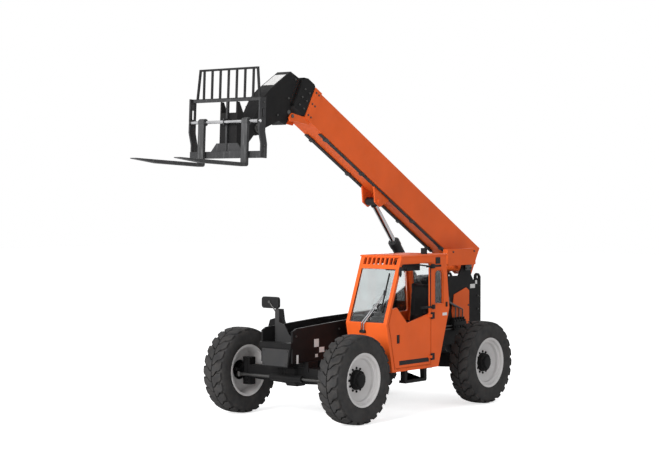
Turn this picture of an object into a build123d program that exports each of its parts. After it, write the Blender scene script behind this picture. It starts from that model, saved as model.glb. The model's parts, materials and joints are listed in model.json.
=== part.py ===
# Telehandler: a rough-terrain lifting machine with a telescoping boom, an offset cab and a fork carriage.
# Units are millimetres. The machine faces +X, its left side (the cab) is +Y, and +Z is up.
# While building, X = 0 is the rear axle and Z = 0 the ground. main() then moves the whole machine
# so that the origin is the middle of its bottom.
import os
from math import cos, hypot, pi, radians, sin, sqrt
from build123d import *

# wheels
WHEELBASE = 3250
TRACK = 2200
TYRE_OD = 1300
TYRE_WIDTH = 375
SHOULDER = 46
WHEEL_SIDES = 18
ROUND_SIDES = 16
LUGS_PER_SIDE = 22
LUG_HEIGHT = 36
LUG_BAR = 112
LUG_SWEEP = 66
CENTRE_GROOVE = 14
RIM_R = 372
RIM_LIP = 20
BEAD_IN = 38
BEAD_SHARE = 0.16
DISC_OUT = 30
DISC_THICK = 20
HUB_R = 140
HUB_PROUD = 105

# axles: the kingpin stands inboard of the wheel, and the steering rod ahead of or behind the axle
AXLE_Z = TYRE_OD / 2
HOUSING = 330
KINGPIN_IN = 130
KINGPIN_R = 28
SPINDLE_R = 60
SPINDLE_OUT = 88
YOKE_BACK = 120
YOKE_HEIGHT = 205
YOKE_THICK = 45
STEER_ARM = 210
STEER_ROD_R = 22
STEER_DROP = 35
STEER_BARREL = 300
RUN_FIT = 0.05

# main frame
FRAME_HALF = 270
PLATE_THICK = 30
PLATE_OUT = FRAME_HALF + PLATE_THICK
FRAME_LOW = AXLE_Z - 50
AXLE_SEAT = AXLE_Z + 210
ARCH_HALF = 330
FRONT_OVERHANG = 430
REAR_OVERHANG = 1190
FRAME_FRONT = WHEELBASE + FRONT_OVERHANG
FRAME_REAR = -REAR_OVERHANG
NOSE_TOP = 1320
WAIST_TOP = 1430
TOWER_TOP = 1975
BUMPER_HALF = 285
BUMPER_LOW = AXLE_Z + 145
BUMPER_HIGH = AXLE_Z + 430

# boom, in its own plane: u runs along the boom from the pivot pin, v stands square to it
BOOM_DEG = 29.6
PIVOT_X = -783
PIVOT_Z = 2113
PIN_R = 45
PIVOT_EAR_R = 120
OUTER_REAR = -350
OUTER_FRONT = 4658
OUTER_HALF = 170
OUTER_LOW = 30
OUTER_HIGH = 525
OUTER_WALL = 10
MOUTH_LENGTH = 170
MOUTH_PROUD = 12
STAGE_GAP = 12
STAGE_WALL = 8
PAD_CLEAR = 0.3
PAD_LENGTH = 140
MID_REAR = -200
MID_FRONT = OUTER_FRONT + 290
FLY_REAR = 0
FLY_FRONT = MID_FRONT + 52
STAGE_STROKE = 3450
LINE_R = 15

# lift cylinder: its eye in boom coordinates, its base pin in machine coordinates
EYE_U = 2427
EYE_V = OUTER_LOW - 165
LIFT_BASE_X = -836.7
LIFT_BASE_Z = FRAME_LOW + 28.4
LIFT_PIN_R = 40
LIFT_BORE_R = 84
LIFT_ROD_R = 46
GLAND_PROUD = 9
GLAND_TO_EYE = 830
ROD_IN_BARREL = 610
EYE_R = 65

# boom head and carriage: the tilt pin from the front of the fly section, the carriage from the tilt pin
TILT_AHEAD = 458
TILT_V = -652
TILT_U = FLY_FRONT + TILT_AHEAD
TILT_PIN_R = 40
HEAD_WALL = 20
CARRIAGE_AHEAD = 505
CARRIAGE_HALF = 670
CARRIAGE_LEAN = 2.5
BEAM_DOWN = 452
BEAM_HIGH = 95
TOP_BAR_UP = 343
TOP_BAR_HIGH = 50
BACKREST_UP = 813
BACKREST_HALF = 465
BACKREST_BARS = 7
BAR_HALF = 16
SHAFT_UP = 55
SHAFT_R = 23
FORK_Y = 410
FORK_LENGTH = 1350
FORK_WIDTH = 110
FORK_THICK = 50
HEEL_DOWN = 572

# cab, placed from the front wheel; its side is a hexagon with a nose at the waist and a tail behind the seat
CAB_GAP = 110
CAB_FRONT = WHEELBASE - TYRE_OD / 2 - CAB_GAP
CAB_LENGTH = 1170
CAB_NOSE = 150
CAB_TAIL = 290
CAB_TOP_BACK = 222
CAB_TOP_LENGTH = 1143
CAB_IN = 460
CAB_OUT = 1210
CAB_WALL = 40
CAB_LOW = FRAME_LOW + 90
CAB_HIGH = CAB_LOW + 1685
CAB_WAIST = CAB_LOW + 720
CAB_TAIL_Z = CAB_LOW + 880
ROOF_THICK = 25
HEADER = 112
SLATS = 9
SLAT_WIDTH = 28
DOOR_POST = 65
DOOR_GAP = 6
DOOR_LENGTH = 905
DOOR_HINGE_X = CAB_FRONT - DOOR_POST - DOOR_LENGTH
DOOR_HINGE_Y = CAB_OUT + 14
HINGE_PIN_R = 6
HINGE_HIGH = 40
GLASS = 8

# engine hood on the right, between the wheels
HOOD_REAR_GAP = 170
HOOD_FRONT_GAP = 160
HOOD_X0 = TYRE_OD / 2 + HOOD_REAR_GAP
HOOD_X1 = WHEELBASE - TYRE_OD / 2 - HOOD_FRONT_GAP
HOOD_OUT = 1200
HOOD_LOW = FRAME_LOW + 90
HOOD_HEIGHT = 550
HOOD_HIGH = HOOD_LOW + HOOD_HEIGHT
HOOD_WALL = 8
CRADLE_THICK = 50
STACK_HEIGHT = 190
LOUVRES = 6

# side mirror on a flared post by the right of the boom
MIRROR_BACK = 170
MIRROR_X = WHEELBASE - MIRROR_BACK
POST_THICK = 30
POST_TOP = 1590
POST_LOW = 1110


def block(x0, x1, y0, y1, z0, z1):
    return Pos((x0 + x1) / 2, (y0 + y1) / 2, (z0 + z1) / 2) * Box(abs(x1 - x0), abs(y1 - y0), abs(z1 - z0))


def plate(points, amount, direction, rounded=(), radius=0):
    # a flat plate: an outline of 3-D points, with the listed corners rounded, pushed out along a direction
    face = Face(Wire.make_polygon(points, close=True))
    corners = [face.vertices().sort_by_distance(points[i])[0] for i in rounded]
    if corners:
        face = face.fillet_2d(radius, corners)
    return extrude(face, amount=amount, dir=direction)


def plate_y(points, y0, y1, rounded=(), radius=0):
    # a plate cut to an outline in X and Z, from y0 to y1
    return plate([Vector(x, y0, z) for x, z in points], y1 - y0, (0, 1, 0), rounded, radius)


def plate_x(points, x0, x1, rounded=(), radius=0):
    # a plate cut to an outline in Y and Z, from x0 to x1
    return plate([Vector(x0, y, z) for y, z in points], x1 - x0, (1, 0, 0), rounded, radius)


def bar(start, end, r, sides=0):
    # a bar from one point to another: round, or many-sided where it only has to look round
    a = Vector(*start)
    b = Vector(*end)
    section = RegularPolygon(r, sides) if sides else Circle(r)
    return extrude(Plane(origin=a, z_dir=b - a) * section, amount=(b - a).length)


def bar_y(x, z, r, y0, y1, sides=0):
    return bar((x, y0, z), (x, y1, z), r, sides)


def bar_z(x, y, r, z0, z1, sides=0):
    return bar((x, y, z0), (x, y, z1), r, sides)


def bore_r(pin_r, sides):
    # the corner radius of a many-sided bore that a round pin turns in
    return (pin_r + RUN_FIT) / cos(pi / sides)


def mirrored(shape):
    return mirror(shape, about=Plane.XZ)


def both_sides(shape):
    return shape + mirrored(shape)


def turned(profile, sides):
    # a many-sided turned form about Y, from a closed outline of (y, radius) points
    step = 2 * pi / sides
    faces = []
    for (y0, r0), (y1, r1) in zip(profile, profile[1:] + profile[:1]):
        for k in range(sides):
            a, b = step * k, step * (k + 1)
            ring = [(y0, r0, a), (y0, r0, b), (y1, r1, b), (y1, r1, a)]
            corners = [Vector(r * cos(t), y, r * sin(t)) for y, r, t in ring]
            if r0 == 0:
                corners = corners[1:]
            if r1 == 0:
                corners = corners[:3]
            if r0 or r1:
                faces.append(Face(Wire.make_polygon(corners, close=True)))
    return Solid(Shell(faces))


def on_boom(shape):
    # places a shape drawn in boom coordinates (X = u, Z = v) on the raised boom
    return Pos(PIVOT_X, 0, PIVOT_Z) * Rot(0, -BOOM_DEG, 0) * shape


def boom_point(u, v):
    a = radians(BOOM_DEG)
    return PIVOT_X + u * cos(a) - v * sin(a), PIVOT_Z + u * sin(a) + v * cos(a)


def tube(u0, u1, half, low, high, wall):
    # a hollow box section along the boom, open at both ends
    outside = block(u0, u1, -half, half, low, high)
    return outside - block(u0 - 1, u1 + 1, -half + wall, half - wall, low + wall, high - wall)


def wear_pads(u1, half, low, high):
    # four slide pads inside the mouth of a section, just clear of the section that slides in it
    thick = STAGE_GAP - PAD_CLEAR
    u0 = u1 - PAD_LENGTH
    wide = half * 0.7
    tall = (high - low) * 0.25
    middle = (low + high) / 2
    pads = block(u0, u1, -wide, wide, low, low + thick)
    pads += block(u0, u1, -wide, wide, high - thick, high)
    return pads + both_sides(block(u0, u1, half - thick, half, middle - tall, middle + tall))


def tyre():
    # a casing with bevelled beads and rounded shoulders, and staggered blocks swept back from the middle
    half = TYRE_WIDTH / 2
    crown = TYRE_OD / 2 - LUG_HEIGHT
    wall = crown - RIM_R
    edge = half - SHOULDER * 0.4
    side = [(half - BEAD_IN, RIM_R), (half - BEAD_IN * 0.2, RIM_R + wall * BEAD_SHARE), (half, RIM_R + wall * 0.5),
            (edge, crown - wall * 0.17), (half - SHOULDER, crown)]
    casing = turned(side + [(-y, r) for y, r in reversed(side)], WHEEL_SIDES)
    reach = (LUG_SWEEP + LUG_BAR) / 2
    top = sqrt((TYRE_OD / 2) ** 2 - reach ** 2)
    base = crown - wall * 0.3
    start = CENTRE_GROOVE / 2
    corners = [(reach - LUG_BAR, start), (reach, start), (LUG_BAR - reach, edge), (-reach, edge)]
    lug = plate([Vector(t, y, base) for t, y in corners], top - base, (0, 0, 1))
    pitch = 360 / LUGS_PER_SIDE
    lugs = []
    for k in range(LUGS_PER_SIDE):
        lugs.append(Rot(0, pitch * k, 0) * lug)
        lugs.append(Rot(0, pitch * (k + 0.5), 0) * mirrored(lug))
    return casing.fuse(*lugs)


def rim():
    # a deep stepped dish with a domed hub; y grows outwards, away from the machine
    side = TYRE_WIDTH / 2 - BEAD_IN
    crown = TYRE_OD / 2 - LUG_HEIGHT
    flare = side + BEAD_IN * 0.8 * RIM_LIP / ((crown - RIM_R) * BEAD_SHARE)
    lip = flare + RIM_LIP * 0.4
    step = RIM_LIP * 1.6
    back = DISC_OUT - DISC_THICK
    profile = [
        (-lip, RIM_R - RIM_LIP * 0.8), (-lip, RIM_R + RIM_LIP), (-flare, RIM_R + RIM_LIP), (-side, RIM_R),
        (side, RIM_R), (flare, RIM_R + RIM_LIP), (lip, RIM_R + RIM_LIP), (lip, RIM_R - RIM_LIP * 0.8),
        (side - step, RIM_R - step), (side - step, RIM_R - step * 2), (DISC_OUT + step, RIM_R - step * 2.6),
        (DISC_OUT, HUB_R + step * 1.4), (DISC_OUT, HUB_R - DISC_THICK),
        (back, HUB_R - DISC_THICK), (back, RIM_R - step * 1.3),
    ]
    dome = DISC_OUT + HUB_PROUD
    hub = turned([(back, 0), (back, HUB_R), (dome - step * 1.3, HUB_R), (dome - step * 0.5, HUB_R * 0.72),
                  (dome, HUB_R * 0.66), (dome, 0)], 12)
    shape = turned(profile, WHEEL_SIDES) + hub
    return shape - bar_y(0, 0, bore_r(SPINDLE_R, 12), back - 1, SPINDLE_OUT + 2, 12)


def wheel_places():
    # name, axle position, wheel middle (left is positive)
    half = TRACK / 2
    return [("fl", WHEELBASE, half), ("fr", WHEELBASE, -half), ("rl", 0, half), ("rr", 0, -half)]


def axle(x, ahead):
    # a fixed axle: a centre housing, two tapered arms with a yoke and kingpin each, and the steering cylinder
    pin_y = TRACK / 2 - KINGPIN_IN
    yoke_y = pin_y - YOKE_BACK
    ear_low = YOKE_HEIGHT - YOKE_THICK
    body = chamfer((Pos(x, 0, AXLE_Z) * Box(HOUSING * 0.9, HOUSING, HOUSING)).edges(), HOUSING * 0.2)
    root = Plane(origin=(x, HOUSING * 0.36, AXLE_Z), x_dir=(1, 0, 0), z_dir=(0, 1, 0))
    tip = Plane(origin=(x, yoke_y + YOKE_THICK * 0.5, AXLE_Z), x_dir=(1, 0, 0), z_dir=(0, 1, 0))
    half = loft([root * Rectangle(HOUSING * 0.66, HOUSING * 0.76), tip * Rectangle(HOUSING * 0.45, HOUSING * 0.58)])
    half += block(x - 65, x + 65, yoke_y, yoke_y + 35, AXLE_Z - YOKE_HEIGHT, AXLE_Z + YOKE_HEIGHT)
    for z in (AXLE_Z + ear_low, AXLE_Z - YOKE_HEIGHT):
        half += block(x - 55, x + 55, yoke_y + 20, pin_y, z, z + YOKE_THICK)
        half += bar_z(x, pin_y, 55, z, z + YOKE_THICK, 12)
    half += bar_z(x, pin_y, KINGPIN_R, AXLE_Z - YOKE_HEIGHT + 5, AXLE_Z + YOKE_HEIGHT - 5)
    half += block(x - 110, x + 110, FRAME_HALF - PLATE_THICK, PLATE_OUT + PLATE_THICK, AXLE_Z + 60, AXLE_SEAT)
    steer_x = x + ahead * STEER_ARM
    steer_z = AXLE_Z - STEER_DROP
    near = x + ahead * HOUSING * 0.27
    half += block(near, steer_x, 60, 120, steer_z - 25, steer_z + 25)
    body = body + half + mirrored(half)
    body += bar_y(steer_x, steer_z, STEER_ROD_R * 2.2, -STEER_BARREL, STEER_BARREL, 12)
    return body - bar_y(steer_x, steer_z, bore_r(STEER_ROD_R, 12), -STEER_BARREL - 1, STEER_BARREL + 1, 12)


def steer_rod(x, ahead):
    # the double-ended rod that slides through the steering cylinder, with an eye at each end
    steer_x = x + ahead * STEER_ARM
    steer_z = AXLE_Z - STEER_DROP
    reach = TRACK / 2 - KINGPIN_IN - 60
    rod = bar_y(steer_x, steer_z, STEER_ROD_R, -reach, reach, 12)
    for side in (1, -1):
        rod += bar_z(steer_x, side * (reach + 20), STEER_ROD_R * 1.6, steer_z - 25, steer_z + 25, 12)
    return rod


def knuckle(x, side, ahead):
    # the steered hub carrier: a barrel on the kingpin, a spindle for the wheel and an arm for the rod
    pin_y = TRACK / 2 - KINGPIN_IN
    wheel_y = TRACK / 2
    tall = YOKE_HEIGHT - YOKE_THICK - 5
    face = wheel_y - 12
    body = bar_z(x, pin_y, KINGPIN_R * 2, AXLE_Z - tall, AXLE_Z + tall, 12)
    body += bar_y(x, AXLE_Z, SPINDLE_R * 1.75, pin_y, face, 12)
    body += bar_y(x, AXLE_Z, SPINDLE_R, face - 1, wheel_y + SPINDLE_OUT)
    arm_end = x + ahead * STEER_ARM
    body += block(x, arm_end, pin_y, pin_y + 40, AXLE_Z + 10, AXLE_Z + 50)
    body += bar_z(arm_end, pin_y + 20, 30, AXLE_Z + 10, AXLE_Z + 50, 12)
    body -= bar_z(x, pin_y, bore_r(KINGPIN_R, 12), AXLE_Z - tall - 1, AXLE_Z + tall + 1, 12)
    return body if side > 0 else mirrored(body)


def frame_plate():
    # one tall side plate, arched over both axles, with a round ear for the boom pin and a lifting hook at the rear
    foot = ARCH_HALF + 90
    rear_top = TOWER_TOP - 90
    outline = [
        (FRAME_REAR, FRAME_LOW), (-foot, FRAME_LOW), (-ARCH_HALF, AXLE_SEAT), (ARCH_HALF, AXLE_SEAT),
        (foot, FRAME_LOW), (WHEELBASE - foot, FRAME_LOW), (WHEELBASE - ARCH_HALF, AXLE_SEAT),
        (FRAME_FRONT, AXLE_SEAT), (FRAME_FRONT, NOSE_TOP), (FRAME_FRONT - 90, NOSE_TOP + 40),
        (WHEELBASE - 900, WAIST_TOP), (PIVOT_X + 1680, WAIST_TOP + 45), (PIVOT_X + 543, TOWER_TOP),
        (PIVOT_X + 236, TOWER_TOP - 5), (PIVOT_X + PIVOT_EAR_R * 0.92, PIVOT_Z + 40),
        (PIVOT_X - PIVOT_EAR_R * 0.92, PIVOT_Z + 40), (PIVOT_X - PIVOT_EAR_R, TOWER_TOP), (PIVOT_X - 190, rear_top),
        (FRAME_REAR + 175, rear_top), (FRAME_REAR + 165, rear_top + 80), (FRAME_REAR + 115, rear_top + 112),
        (FRAME_REAR + 45, rear_top + 100), (FRAME_REAR, rear_top + 45),
    ]
    shape = plate_y(outline, FRAME_HALF, PLATE_OUT)
    shape += bar_y(PIVOT_X, PIVOT_Z, PIVOT_EAR_R, FRAME_HALF, PLATE_OUT, ROUND_SIDES)
    shape -= plate_y(tower_window(30), FRAME_HALF - 1, PLATE_OUT + 1)
    shape -= bar_y(FRAME_REAR + 85, rear_top + 42, 32, FRAME_HALF - 1, PLATE_OUT + 1, 12)
    for share in (0.4, 0.6):
        shape -= bar_y(WHEELBASE * share, FRAME_LOW + 300, 110, FRAME_HALF - 1, PLATE_OUT + 1, ROUND_SIDES)
    return shape


def tower_window(inset):
    # the access hole in the tower, which the side cover closes
    x0, x1 = PIVOT_X - 47, PIVOT_X + 453
    z0, z1 = TOWER_TOP - 855, TOWER_TOP - 205
    return [(x0 + inset, z0 + inset), (x0 + inset, z1 - inset - 50), (x0 + 85, z1 - inset), (x1 - 70, z1 - inset - 100),
            (x1 - inset, z1 - 370), (x1 - 60 - inset, z0 + inset)]


def main_frame():
    # two side plates tied by a belly plate and cross members, a front bumper box, and the two big pins
    frame = both_sides(frame_plate())
    foot = ARCH_HALF + 90
    frame += block(foot, WHEELBASE - foot, -FRAME_HALF, FRAME_HALF, FRAME_LOW, FRAME_LOW + 20)
    frame += block(FRAME_REAR, FRAME_REAR + 60, -FRAME_HALF, FRAME_HALF, FRAME_LOW, TOWER_TOP - 525)
    frame += block(WHEELBASE - 750, WHEELBASE - 690, -FRAME_HALF, FRAME_HALF, FRAME_LOW, AXLE_SEAT + 290)
    face = [(-BUMPER_HALF * 0.8, BUMPER_LOW), (BUMPER_HALF * 0.8, BUMPER_LOW), (BUMPER_HALF, BUMPER_HIGH),
            (-BUMPER_HALF, BUMPER_HIGH)]
    frame += plate_x(face, FRAME_FRONT - 120, FRAME_FRONT + 25)
    frame += block(FRAME_FRONT - 100, FRAME_FRONT + 40, -PLATE_OUT, PLATE_OUT, BUMPER_HIGH, BUMPER_HIGH + 75)
    frame += bar_y(PIVOT_X, PIVOT_Z, PIN_R, -PLATE_OUT - 25, PLATE_OUT + 25, ROUND_SIDES)
    return frame + bar_y(LIFT_BASE_X, LIFT_BASE_Z, LIFT_PIN_R, -FRAME_HALF, FRAME_HALF)


def side_cover():
    return plate_y(tower_window(0), PLATE_OUT, PLATE_OUT + 14)


def pivot_cover():
    # the box beside the boom pivot, on a foot on the pivot ear
    y0 = PLATE_OUT + 25
    x0 = PIVOT_X - 77
    z0 = PIVOT_Z + 37
    side = [(x0, z0), (x0, z0 + 235), (x0 + 40, z0 + 265), (x0 + 800, z0 + 265), (x0 + 800, z0 + 40), (x0 + 760, z0)]
    return plate_y(side, y0, y0 + 95) + block(x0, x0 + 200, PLATE_OUT, y0, z0 + 10, z0 + 75)


def boom_outer():
    # the fixed box section: reinforced mouth, pivot boss between ear plates, and lugs for the lift cylinder
    shape = tube(OUTER_REAR, OUTER_FRONT, OUTER_HALF, OUTER_LOW, OUTER_HIGH, OUTER_WALL)
    shape += tube(OUTER_FRONT - MOUTH_LENGTH, OUTER_FRONT, OUTER_HALF + MOUTH_PROUD, OUTER_LOW - MOUTH_PROUD,
                  OUTER_HIGH + MOUTH_PROUD, MOUTH_PROUD)
    ear = plate_y([(-230, OUTER_LOW), (-110, -75), (110, -75), (420, OUTER_LOW)], OUTER_HALF - 40, OUTER_HALF)
    shape += both_sides(ear)
    shape += bar_y(0, 0, PIN_R * 1.95, -FRAME_HALF + 35, FRAME_HALF - 35, ROUND_SIDES)
    lug_y = LIFT_BORE_R + GLAND_PROUD + 11
    lug = plate_y([(EYE_U - 240, OUTER_LOW), (EYE_U - 75, EYE_V - 60), (EYE_U + 75, EYE_V - 60),
                   (EYE_U + 240, OUTER_LOW)], lug_y, lug_y + 25)
    lug += bar_y(EYE_U, EYE_V, 42, lug_y + 25, lug_y + 42, ROUND_SIDES)
    shape += both_sides(lug)
    shape -= bar_y(0, 0, PIN_R + RUN_FIT, -FRAME_HALF, FRAME_HALF)
    inner_half = OUTER_HALF - OUTER_WALL
    inner_low = OUTER_LOW + OUTER_WALL
    inner_high = OUTER_HIGH - OUTER_WALL
    # the space that the boom sections slide in, cleared of the boss
    shape -= block(OUTER_REAR - 1, OUTER_FRONT + 1, -inner_half, inner_half, inner_low, inner_high)
    cheek = [(OUTER_FRONT - 150, OUTER_LOW), (OUTER_FRONT, OUTER_LOW - 5), (OUTER_FRONT + 258, -65), (OUTER_FRONT + 285, -150),
             (OUTER_FRONT + 240, -190), (OUTER_FRONT + 100, -115), (OUTER_FRONT - 150, -20)]
    shape += both_sides(plate_y(cheek, OUTER_HALF - 30, OUTER_HALF - 2))
    return on_boom(shape + wear_pads(OUTER_FRONT - 10, inner_half, inner_low, inner_high))


def boom_lines():
    # steel oil lines clamped along both lower edges of the outer section
    low = OUTER_LOW - LINE_R
    line_y = OUTER_HALF - 20
    u0 = 460
    u1 = OUTER_FRONT - MOUTH_LENGTH - 288
    line = bar((u0, line_y, low), (u1, line_y, low), LINE_R, 6)
    for share in (0.03, 0.27, 0.68, 0.95):
        u = u0 + (u1 - u0) * share
        line += block(u, u + 60, line_y - LINE_R - 4, line_y + LINE_R + 4, low - LINE_R - 6, OUTER_LOW)
    return on_boom(both_sides(line))


def stage_inset(index):
    return (OUTER_WALL + STAGE_GAP) + (index - 1) * (STAGE_WALL + STAGE_GAP)


def boom_mid():
    s = stage_inset(1)
    shape = tube(MID_REAR, MID_FRONT, OUTER_HALF - s, OUTER_LOW + s, OUTER_HIGH - s, STAGE_WALL)
    s += STAGE_WALL
    return on_boom(shape + wear_pads(MID_FRONT - 10, OUTER_HALF - s, OUTER_LOW + s, OUTER_HIGH - s))


def mid_collar():
    # the wear-pad box round the middle section, just ahead of the outer section, with a raised sloping top
    s = stage_inset(1)
    u0 = OUTER_FRONT + 8
    side = [(u0, OUTER_LOW + 5), (u0, OUTER_HIGH + 18), (u0 + 28, OUTER_HIGH + 38), (u0 + 195, OUTER_HIGH + 38),
            (MID_FRONT, OUTER_HIGH), (MID_FRONT, OUTER_LOW + 5)]
    shape = plate_y(side, -OUTER_HALF - 6, OUTER_HALF + 6)
    shape -= block(u0 - 1, MID_FRONT + 1, -OUTER_HALF + s, OUTER_HALF - s, OUTER_LOW + s, OUTER_HIGH - s)
    return on_boom(shape)


def boom_fly():
    s = stage_inset(2)
    return on_boom(tube(FLY_REAR, FLY_FRONT, OUTER_HALF - s, OUTER_LOW + s, OUTER_HIGH - s, STAGE_WALL))


def head_outline(inset):
    # the cranked head's side, drawn a plate thickness further in for its hollow
    s = stage_inset(2)
    f = FLY_FRONT
    low = OUTER_LOW + s
    high = OUTER_HIGH - s
    i = inset
    return [(f + i, high - i), (f + 205 - i * 0.5, 465 - i), (f + 464 - i * 1.1, 0), (f + 535 - i * 1.1, -190),
            (f + 565 - i * 1.2, TILT_V + i * 2), (f + 356 + i, TILT_V + i * 2), (f + 314 + i * 0.5, -579 + i),
            (f + 87 + i * 0.3, -302 + i), (f - 85 + i, -263 + i), (f - 106 + i, -33 - i * 0.2), (f + i, low - i * 0.3)]


def boom_nose():
    # the cranked head: two side plates closed by a wrapped edge plate, round at the tilt pin
    half = OUTER_HALF - stage_inset(2)
    shape = plate_y(head_outline(0), -half, half)
    shape += bar_y(TILT_U, TILT_V, TILT_PIN_R * 2.6, -half, half, ROUND_SIDES)
    shape -= plate_y(head_outline(HEAD_WALL), -half + HEAD_WALL, half - HEAD_WALL)
    shape -= bar_y(TILT_U, TILT_V, TILT_PIN_R + RUN_FIT, -half - 1, half + 1)
    return on_boom(shape)


def tilt_place():
    return boom_point(TILT_U, TILT_V)


def lean(shape):
    # tips the carriage back about its pin
    x, z = tilt_place()
    return Pos(x, 0, z) * Rot(0, -CARRIAGE_LEAN, 0) * Pos(-x, 0, -z) * shape


def coupler():
    # the head that carries the attachment: two hooked ears on the tilt pin and a face plate
    x, z = tilt_place()
    face = x + CARRIAGE_AHEAD - 70
    y0 = OUTER_HALF - stage_inset(2) + 8
    y1 = y0 + 25
    low = z - BEAM_DOWN + 52
    top = z + TOP_BAR_UP
    ear = plate_y([(x - 85, z - 60), (x - 60, z + 85), (x + 60, z + 100), (face - 130, z + 130), (face - 130, z + 200),
                   (face - 50, top), (face, top), (face, low), (face - 80, low), (x + 60, z - 95), (x - 40, z - 95)],
                  y0, y1)
    shape = both_sides(ear)
    shape += bar_y(x, z, TILT_PIN_R, -y1 - 17, y1 + 17, ROUND_SIDES)
    shape += block(face - 25, face, -y1, y1, low, z + 190)
    return lean(shape)


def carriage_frame():
    # side plates that kink back below the shaft, a lower beam with a gusset, a top bar and a barred backrest
    tx, tz = tilt_place()
    x = tx + CARRIAGE_AHEAD
    half = CARRIAGE_HALF
    low = tz - BEAM_DOWN
    bar_low = tz + TOP_BAR_UP
    bar_top = bar_low + TOP_BAR_HIGH
    shaft_z = tz + SHAFT_UP
    top = tz + BACKREST_UP
    kink = shaft_z - 140
    shape = block(x - 70, x - 10, -half, half, low, low + BEAM_HIGH)
    shape += block(x - 70, x - 30, -half, half, bar_low, bar_top)
    side = [(x + 30, bar_top), (x + 30, kink), (x - 20, kink - 170), (x - 20, low), (x - 140, low), (x - 140, kink - 170),
            (x - 95, kink), (x - 95, bar_top)]
    upright = plate_y(side, half - 25, half)
    upright -= block(x - 65, x - 15, half - 26, half + 1, shaft_z + 50, shaft_z + 180)
    shape += both_sides(upright)
    shape += block(x - 70, x - 30, -15, 15, low, bar_top)
    shape += block(x - 30, x + 35, -10, 10, shaft_z - 47, shaft_z + 48)
    gusset = [(-297, low + BEAM_HIGH), (297, low + BEAM_HIGH), (195, low + BEAM_HIGH + 118), (-195, low + BEAM_HIGH + 118)]
    shape += plate_x(gusset, x - 70, x - 45)
    for k in range(BACKREST_BARS):
        y = BACKREST_HALF * (2 * k / (BACKREST_BARS - 1) - 1)
        shape += block(x - 62, x - 42, y - BAR_HALF, y + BAR_HALF, bar_top - 5, top)
    stay_low = BACKREST_HALF + 120
    stay_top = BACKREST_HALF + 75
    stay = [(stay_low - BAR_HALF, bar_top - 5), (stay_low + BAR_HALF, bar_top - 5), (stay_top + BAR_HALF, top),
            (stay_top - BAR_HALF, top)]
    shape += both_sides(plate_x(stay, x - 64, x - 40))
    shape += block(x - 66, x - 38, -stay_top - BAR_HALF, stay_top + BAR_HALF, top - 28, top)
    shape -= bar_y(x + 10, shaft_z, bore_r(SHAFT_R, ROUND_SIDES), -half - 1, half + 1, ROUND_SIDES)
    return lean(shape)


def shaft_place():
    tx, tz = tilt_place()
    return tx + CARRIAGE_AHEAD + 10, tz + SHAFT_UP


def fork_shaft():
    x, z = shaft_place()
    return lean(bar_y(x, z, SHAFT_R, -CARRIAGE_HALF, CARRIAGE_HALF))


def fork(side):
    # an L-shaped tine with a rounded heel and a tapered blade, hung on the shaft by its eye
    x, shaft_z = shaft_place()
    tz = shaft_z - SHAFT_UP
    heel = tz - HEEL_DOWN
    back = x - 5
    tip = back + FORK_LENGTH + 15
    y0 = side * FORK_Y - FORK_WIDTH / 2
    y1 = side * FORK_Y + FORK_WIDTH / 2
    eye_low = shaft_z - 57
    tine = [(back, heel), (back + FORK_LENGTH * 0.67, heel), (tip, heel + FORK_THICK * 0.76), (tip, heel + FORK_THICK),
            (back + FORK_THICK, heel + FORK_THICK), (back + FORK_THICK, shaft_z), (back, shaft_z)]
    shape = plate_y(tine, y0, y1, (0,), FORK_THICK * 0.7)
    shape += bar_y(x, shaft_z, SHAFT_R + 29, y0, y1, ROUND_SIDES)
    shape += block(back, back + FORK_THICK, y0, y1, eye_low, shaft_z)
    return lean(shape - bar_y(x, shaft_z, bore_r(SHAFT_R, ROUND_SIDES), y0 - 1, y1 + 1, ROUND_SIDES))


def lift_line():
    # the lift cylinder's far eye, its direction and its length between pins
    x1, z1 = boom_point(EYE_U, EYE_V)
    dx, dz = x1 - LIFT_BASE_X, z1 - LIFT_BASE_Z
    length = hypot(dx, dz)
    return x1, z1, dx / length, dz / length, length


def along_lift(distance):
    # a point on the lift cylinder's line, from its base pin
    x1, z1, cx, cz, length = lift_line()
    return LIFT_BASE_X + distance * cx, 0, LIFT_BASE_Z + distance * cz


def lift_barrel():
    gland = lift_line()[4] - GLAND_TO_EYE
    shape = bar(along_lift(60), along_lift(gland), LIFT_BORE_R, ROUND_SIDES)
    shape += bar(along_lift(gland - 110), along_lift(gland), LIFT_BORE_R + GLAND_PROUD, ROUND_SIDES)
    shape += bar_y(LIFT_BASE_X, LIFT_BASE_Z, LIFT_PIN_R * 1.95, -70, 70, ROUND_SIDES)
    shape -= bar_y(LIFT_BASE_X, LIFT_BASE_Z, bore_r(LIFT_PIN_R, ROUND_SIDES), -71, 71, ROUND_SIDES)
    return shape - bar(along_lift(150), along_lift(gland + 1), bore_r(LIFT_ROD_R, ROUND_SIDES), ROUND_SIDES)


def lift_rod():
    x1, z1, cx, cz, length = lift_line()
    shape = bar(along_lift(length - GLAND_TO_EYE - ROD_IN_BARREL), along_lift(length - EYE_R / 2), LIFT_ROD_R)
    half = LIFT_BORE_R + GLAND_PROUD - 1
    return shape + bar_y(x1, z1, EYE_R, -half, half, ROUND_SIDES)


def cab_side_outline():
    f = CAB_FRONT
    top = f - CAB_TOP_BACK
    rear = f - CAB_LENGTH
    return [(f, CAB_LOW), (f + CAB_NOSE, CAB_WAIST), (top, CAB_HIGH), (top - CAB_TOP_LENGTH, CAB_HIGH),
            (rear - CAB_TAIL, CAB_TAIL_Z), (rear, CAB_LOW)]


def screen_x(z):
    # the sloping front of the cab above the waist
    slope = (CAB_NOSE + CAB_TOP_BACK) / (CAB_HIGH - CAB_WAIST)
    return CAB_FRONT + CAB_NOSE - slope * (z - CAB_WAIST)


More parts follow.
